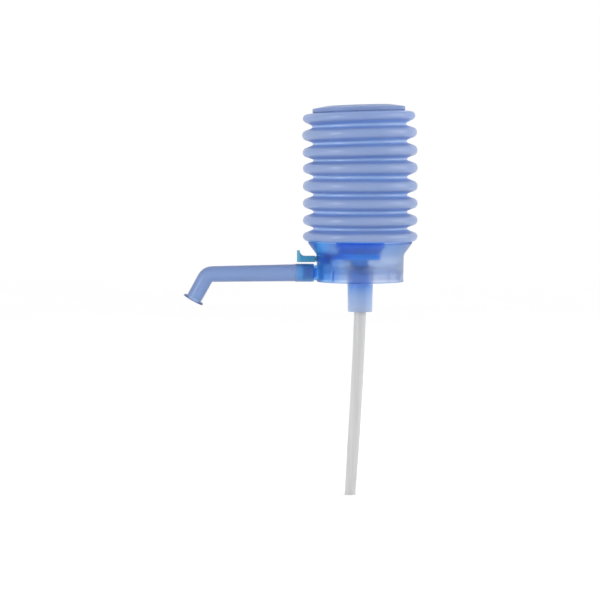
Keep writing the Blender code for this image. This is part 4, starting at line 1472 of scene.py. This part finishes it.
def make_camera():
    """The photograph's view: nearly level with the top of the body, from straight in front."""
    data = bpy.data.cameras.new("camera")
    camera = bpy.data.objects.new("camera", data)
    bpy.context.scene.collection.objects.link(camera)
    middle_x = (picture_width_px / 2 - axis_px) * metres_per_px
    middle_z = foot_z + (skirt_foot_px - picture_width_px / 2) * metres_per_px
    eye = Vector((middle_x, -camera_distance, eye_height))
    look = Vector((middle_x, 0, middle_z)) - eye
    camera.location = eye
    camera.rotation_mode = "QUATERNION"
    camera.rotation_quaternion = look.to_track_quat("-Z", "Y")
    data.sensor_width = sensor_width_mm
    data.lens = sensor_width_mm * look.length / (picture_width_px * metres_per_px)
    data.clip_start = 0.05
    data.clip_end = 30.0
    bpy.context.scene.camera = camera


# Assembly

outer_grain = 1400.0
inner_grain = 1200.0
soft_grain = 900.0
tap_grain = 2200.0
body_blue = (0.13, 0.34, 0.70)
spout_blue = (0.02, 0.28, 0.71)

paint_cap = even_paint((0.28, 0.38, 0.64), (0.32, 0.42, 0.68), 30.0, 0.5)
paint_inner = even_paint((0.04, 0.32, 0.98), (0.06, 0.36, 0.99), 40.0, 0.5)
paint_silicone = even_paint((0.80, 0.88, 0.98), (0.86, 0.92, 1.0), 90.0, 0.7)

bellows_material = make_plastic(
    "blown_blue_polyethylene", paint_bellows_tone_light_and_shade, 0.45, (0.29, 0.36), (outer_grain, 0.04 * MM)
)
cap_material = make_plastic(
    "blue_polyethylene_cap", paint_cap, 0.45, (0.30, 0.38), (outer_grain, 0.03 * MM), ior=1.1, coat=0.15
)
body_material = make_plastic(
    "moulded_blue_polyethylene",
    paint_body,
    0.97,
    (0.30, 0.36),
    (outer_grain, 0.02 * MM),
    ior=1.14,
    coat=0.12,
    absorption=(body_blue, 38.0),
)
sleeve_material = make_plastic(
    "sleeve_polyethylene",
    paint_sleeve,
    sleeve_clearness,
    (0.30, 0.36),
    (outer_grain, 0.02 * MM),
    ior=1.25,
    coat=0.4,
    absorption=(body_blue, 60.0),
)
spout_material = make_plastic(
    "spout_polyethylene",
    paint_spout,
    0.9,
    (0.29, 0.34),
    (outer_grain, 0.02 * MM),
    ior=1.35,
    absorption=(spout_blue, 350.0),
)
inner_material = make_plastic(
    "deep_blue_polyethylene", paint_inner, 0.0, (0.3, 0.42), (inner_grain, 0.04 * MM)
)
deck_material = make_plastic(
    "deck_blue_polyethylene",
    paint_deck,
    deck_clearness,
    (0.29, 0.34),
    (inner_grain, 0.02 * MM),
    ior=1.03,
    coat=0.1,
)
teal_material = make_plastic("teal_moulded_plastic", paint_teal, 0.15, (0.18, 0.3), (tap_grain, 0.03 * MM))
riser_material = make_plastic(
    "milky_polyethylene_tube", paint_riser, 0.4, (0.32, 0.45), (soft_grain, 0.03 * MM), stretch=(1, 1, 0.05)
)
silicone_material = make_plastic(
    "clear_silicone", paint_silicone, 0.98, (0.30, 0.38), (soft_grain, 0.02 * MM), ior=1.03, coat=0.1
)

make_pump_body(body_material)
make_valve_deck(deck_material)
make_neck_gasket(silicone_material)
make_riser_sleeve(sleeve_material)
make_riser_tube(riser_material)
make_bellows(bellows_material)
make_press_cap(cap_material)
make_inlet_valve_seat(inner_material)
make_inlet_valve(silicone_material)
make_tap_plug(teal_material)
make_tap_handle(teal_material)
make_spout(spout_material)

kept_nodes = {
    "bellows_clamp": inner_material,
    "valve_plate": inner_material,
    "outlet_valve": silicone_material,
    "duct_washer": silicone_material,
    "tap_ring": silicone_material,
    "spout_ring": silicone_material,
}
for node_name, node_material in kept_nodes.items():
    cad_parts[node_name].data.materials.clear()
    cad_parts[node_name].data.materials.append(node_material)

make_floor()
make_light()
make_camera()
bpy.context.scene.view_settings.view_transform = "Standard"
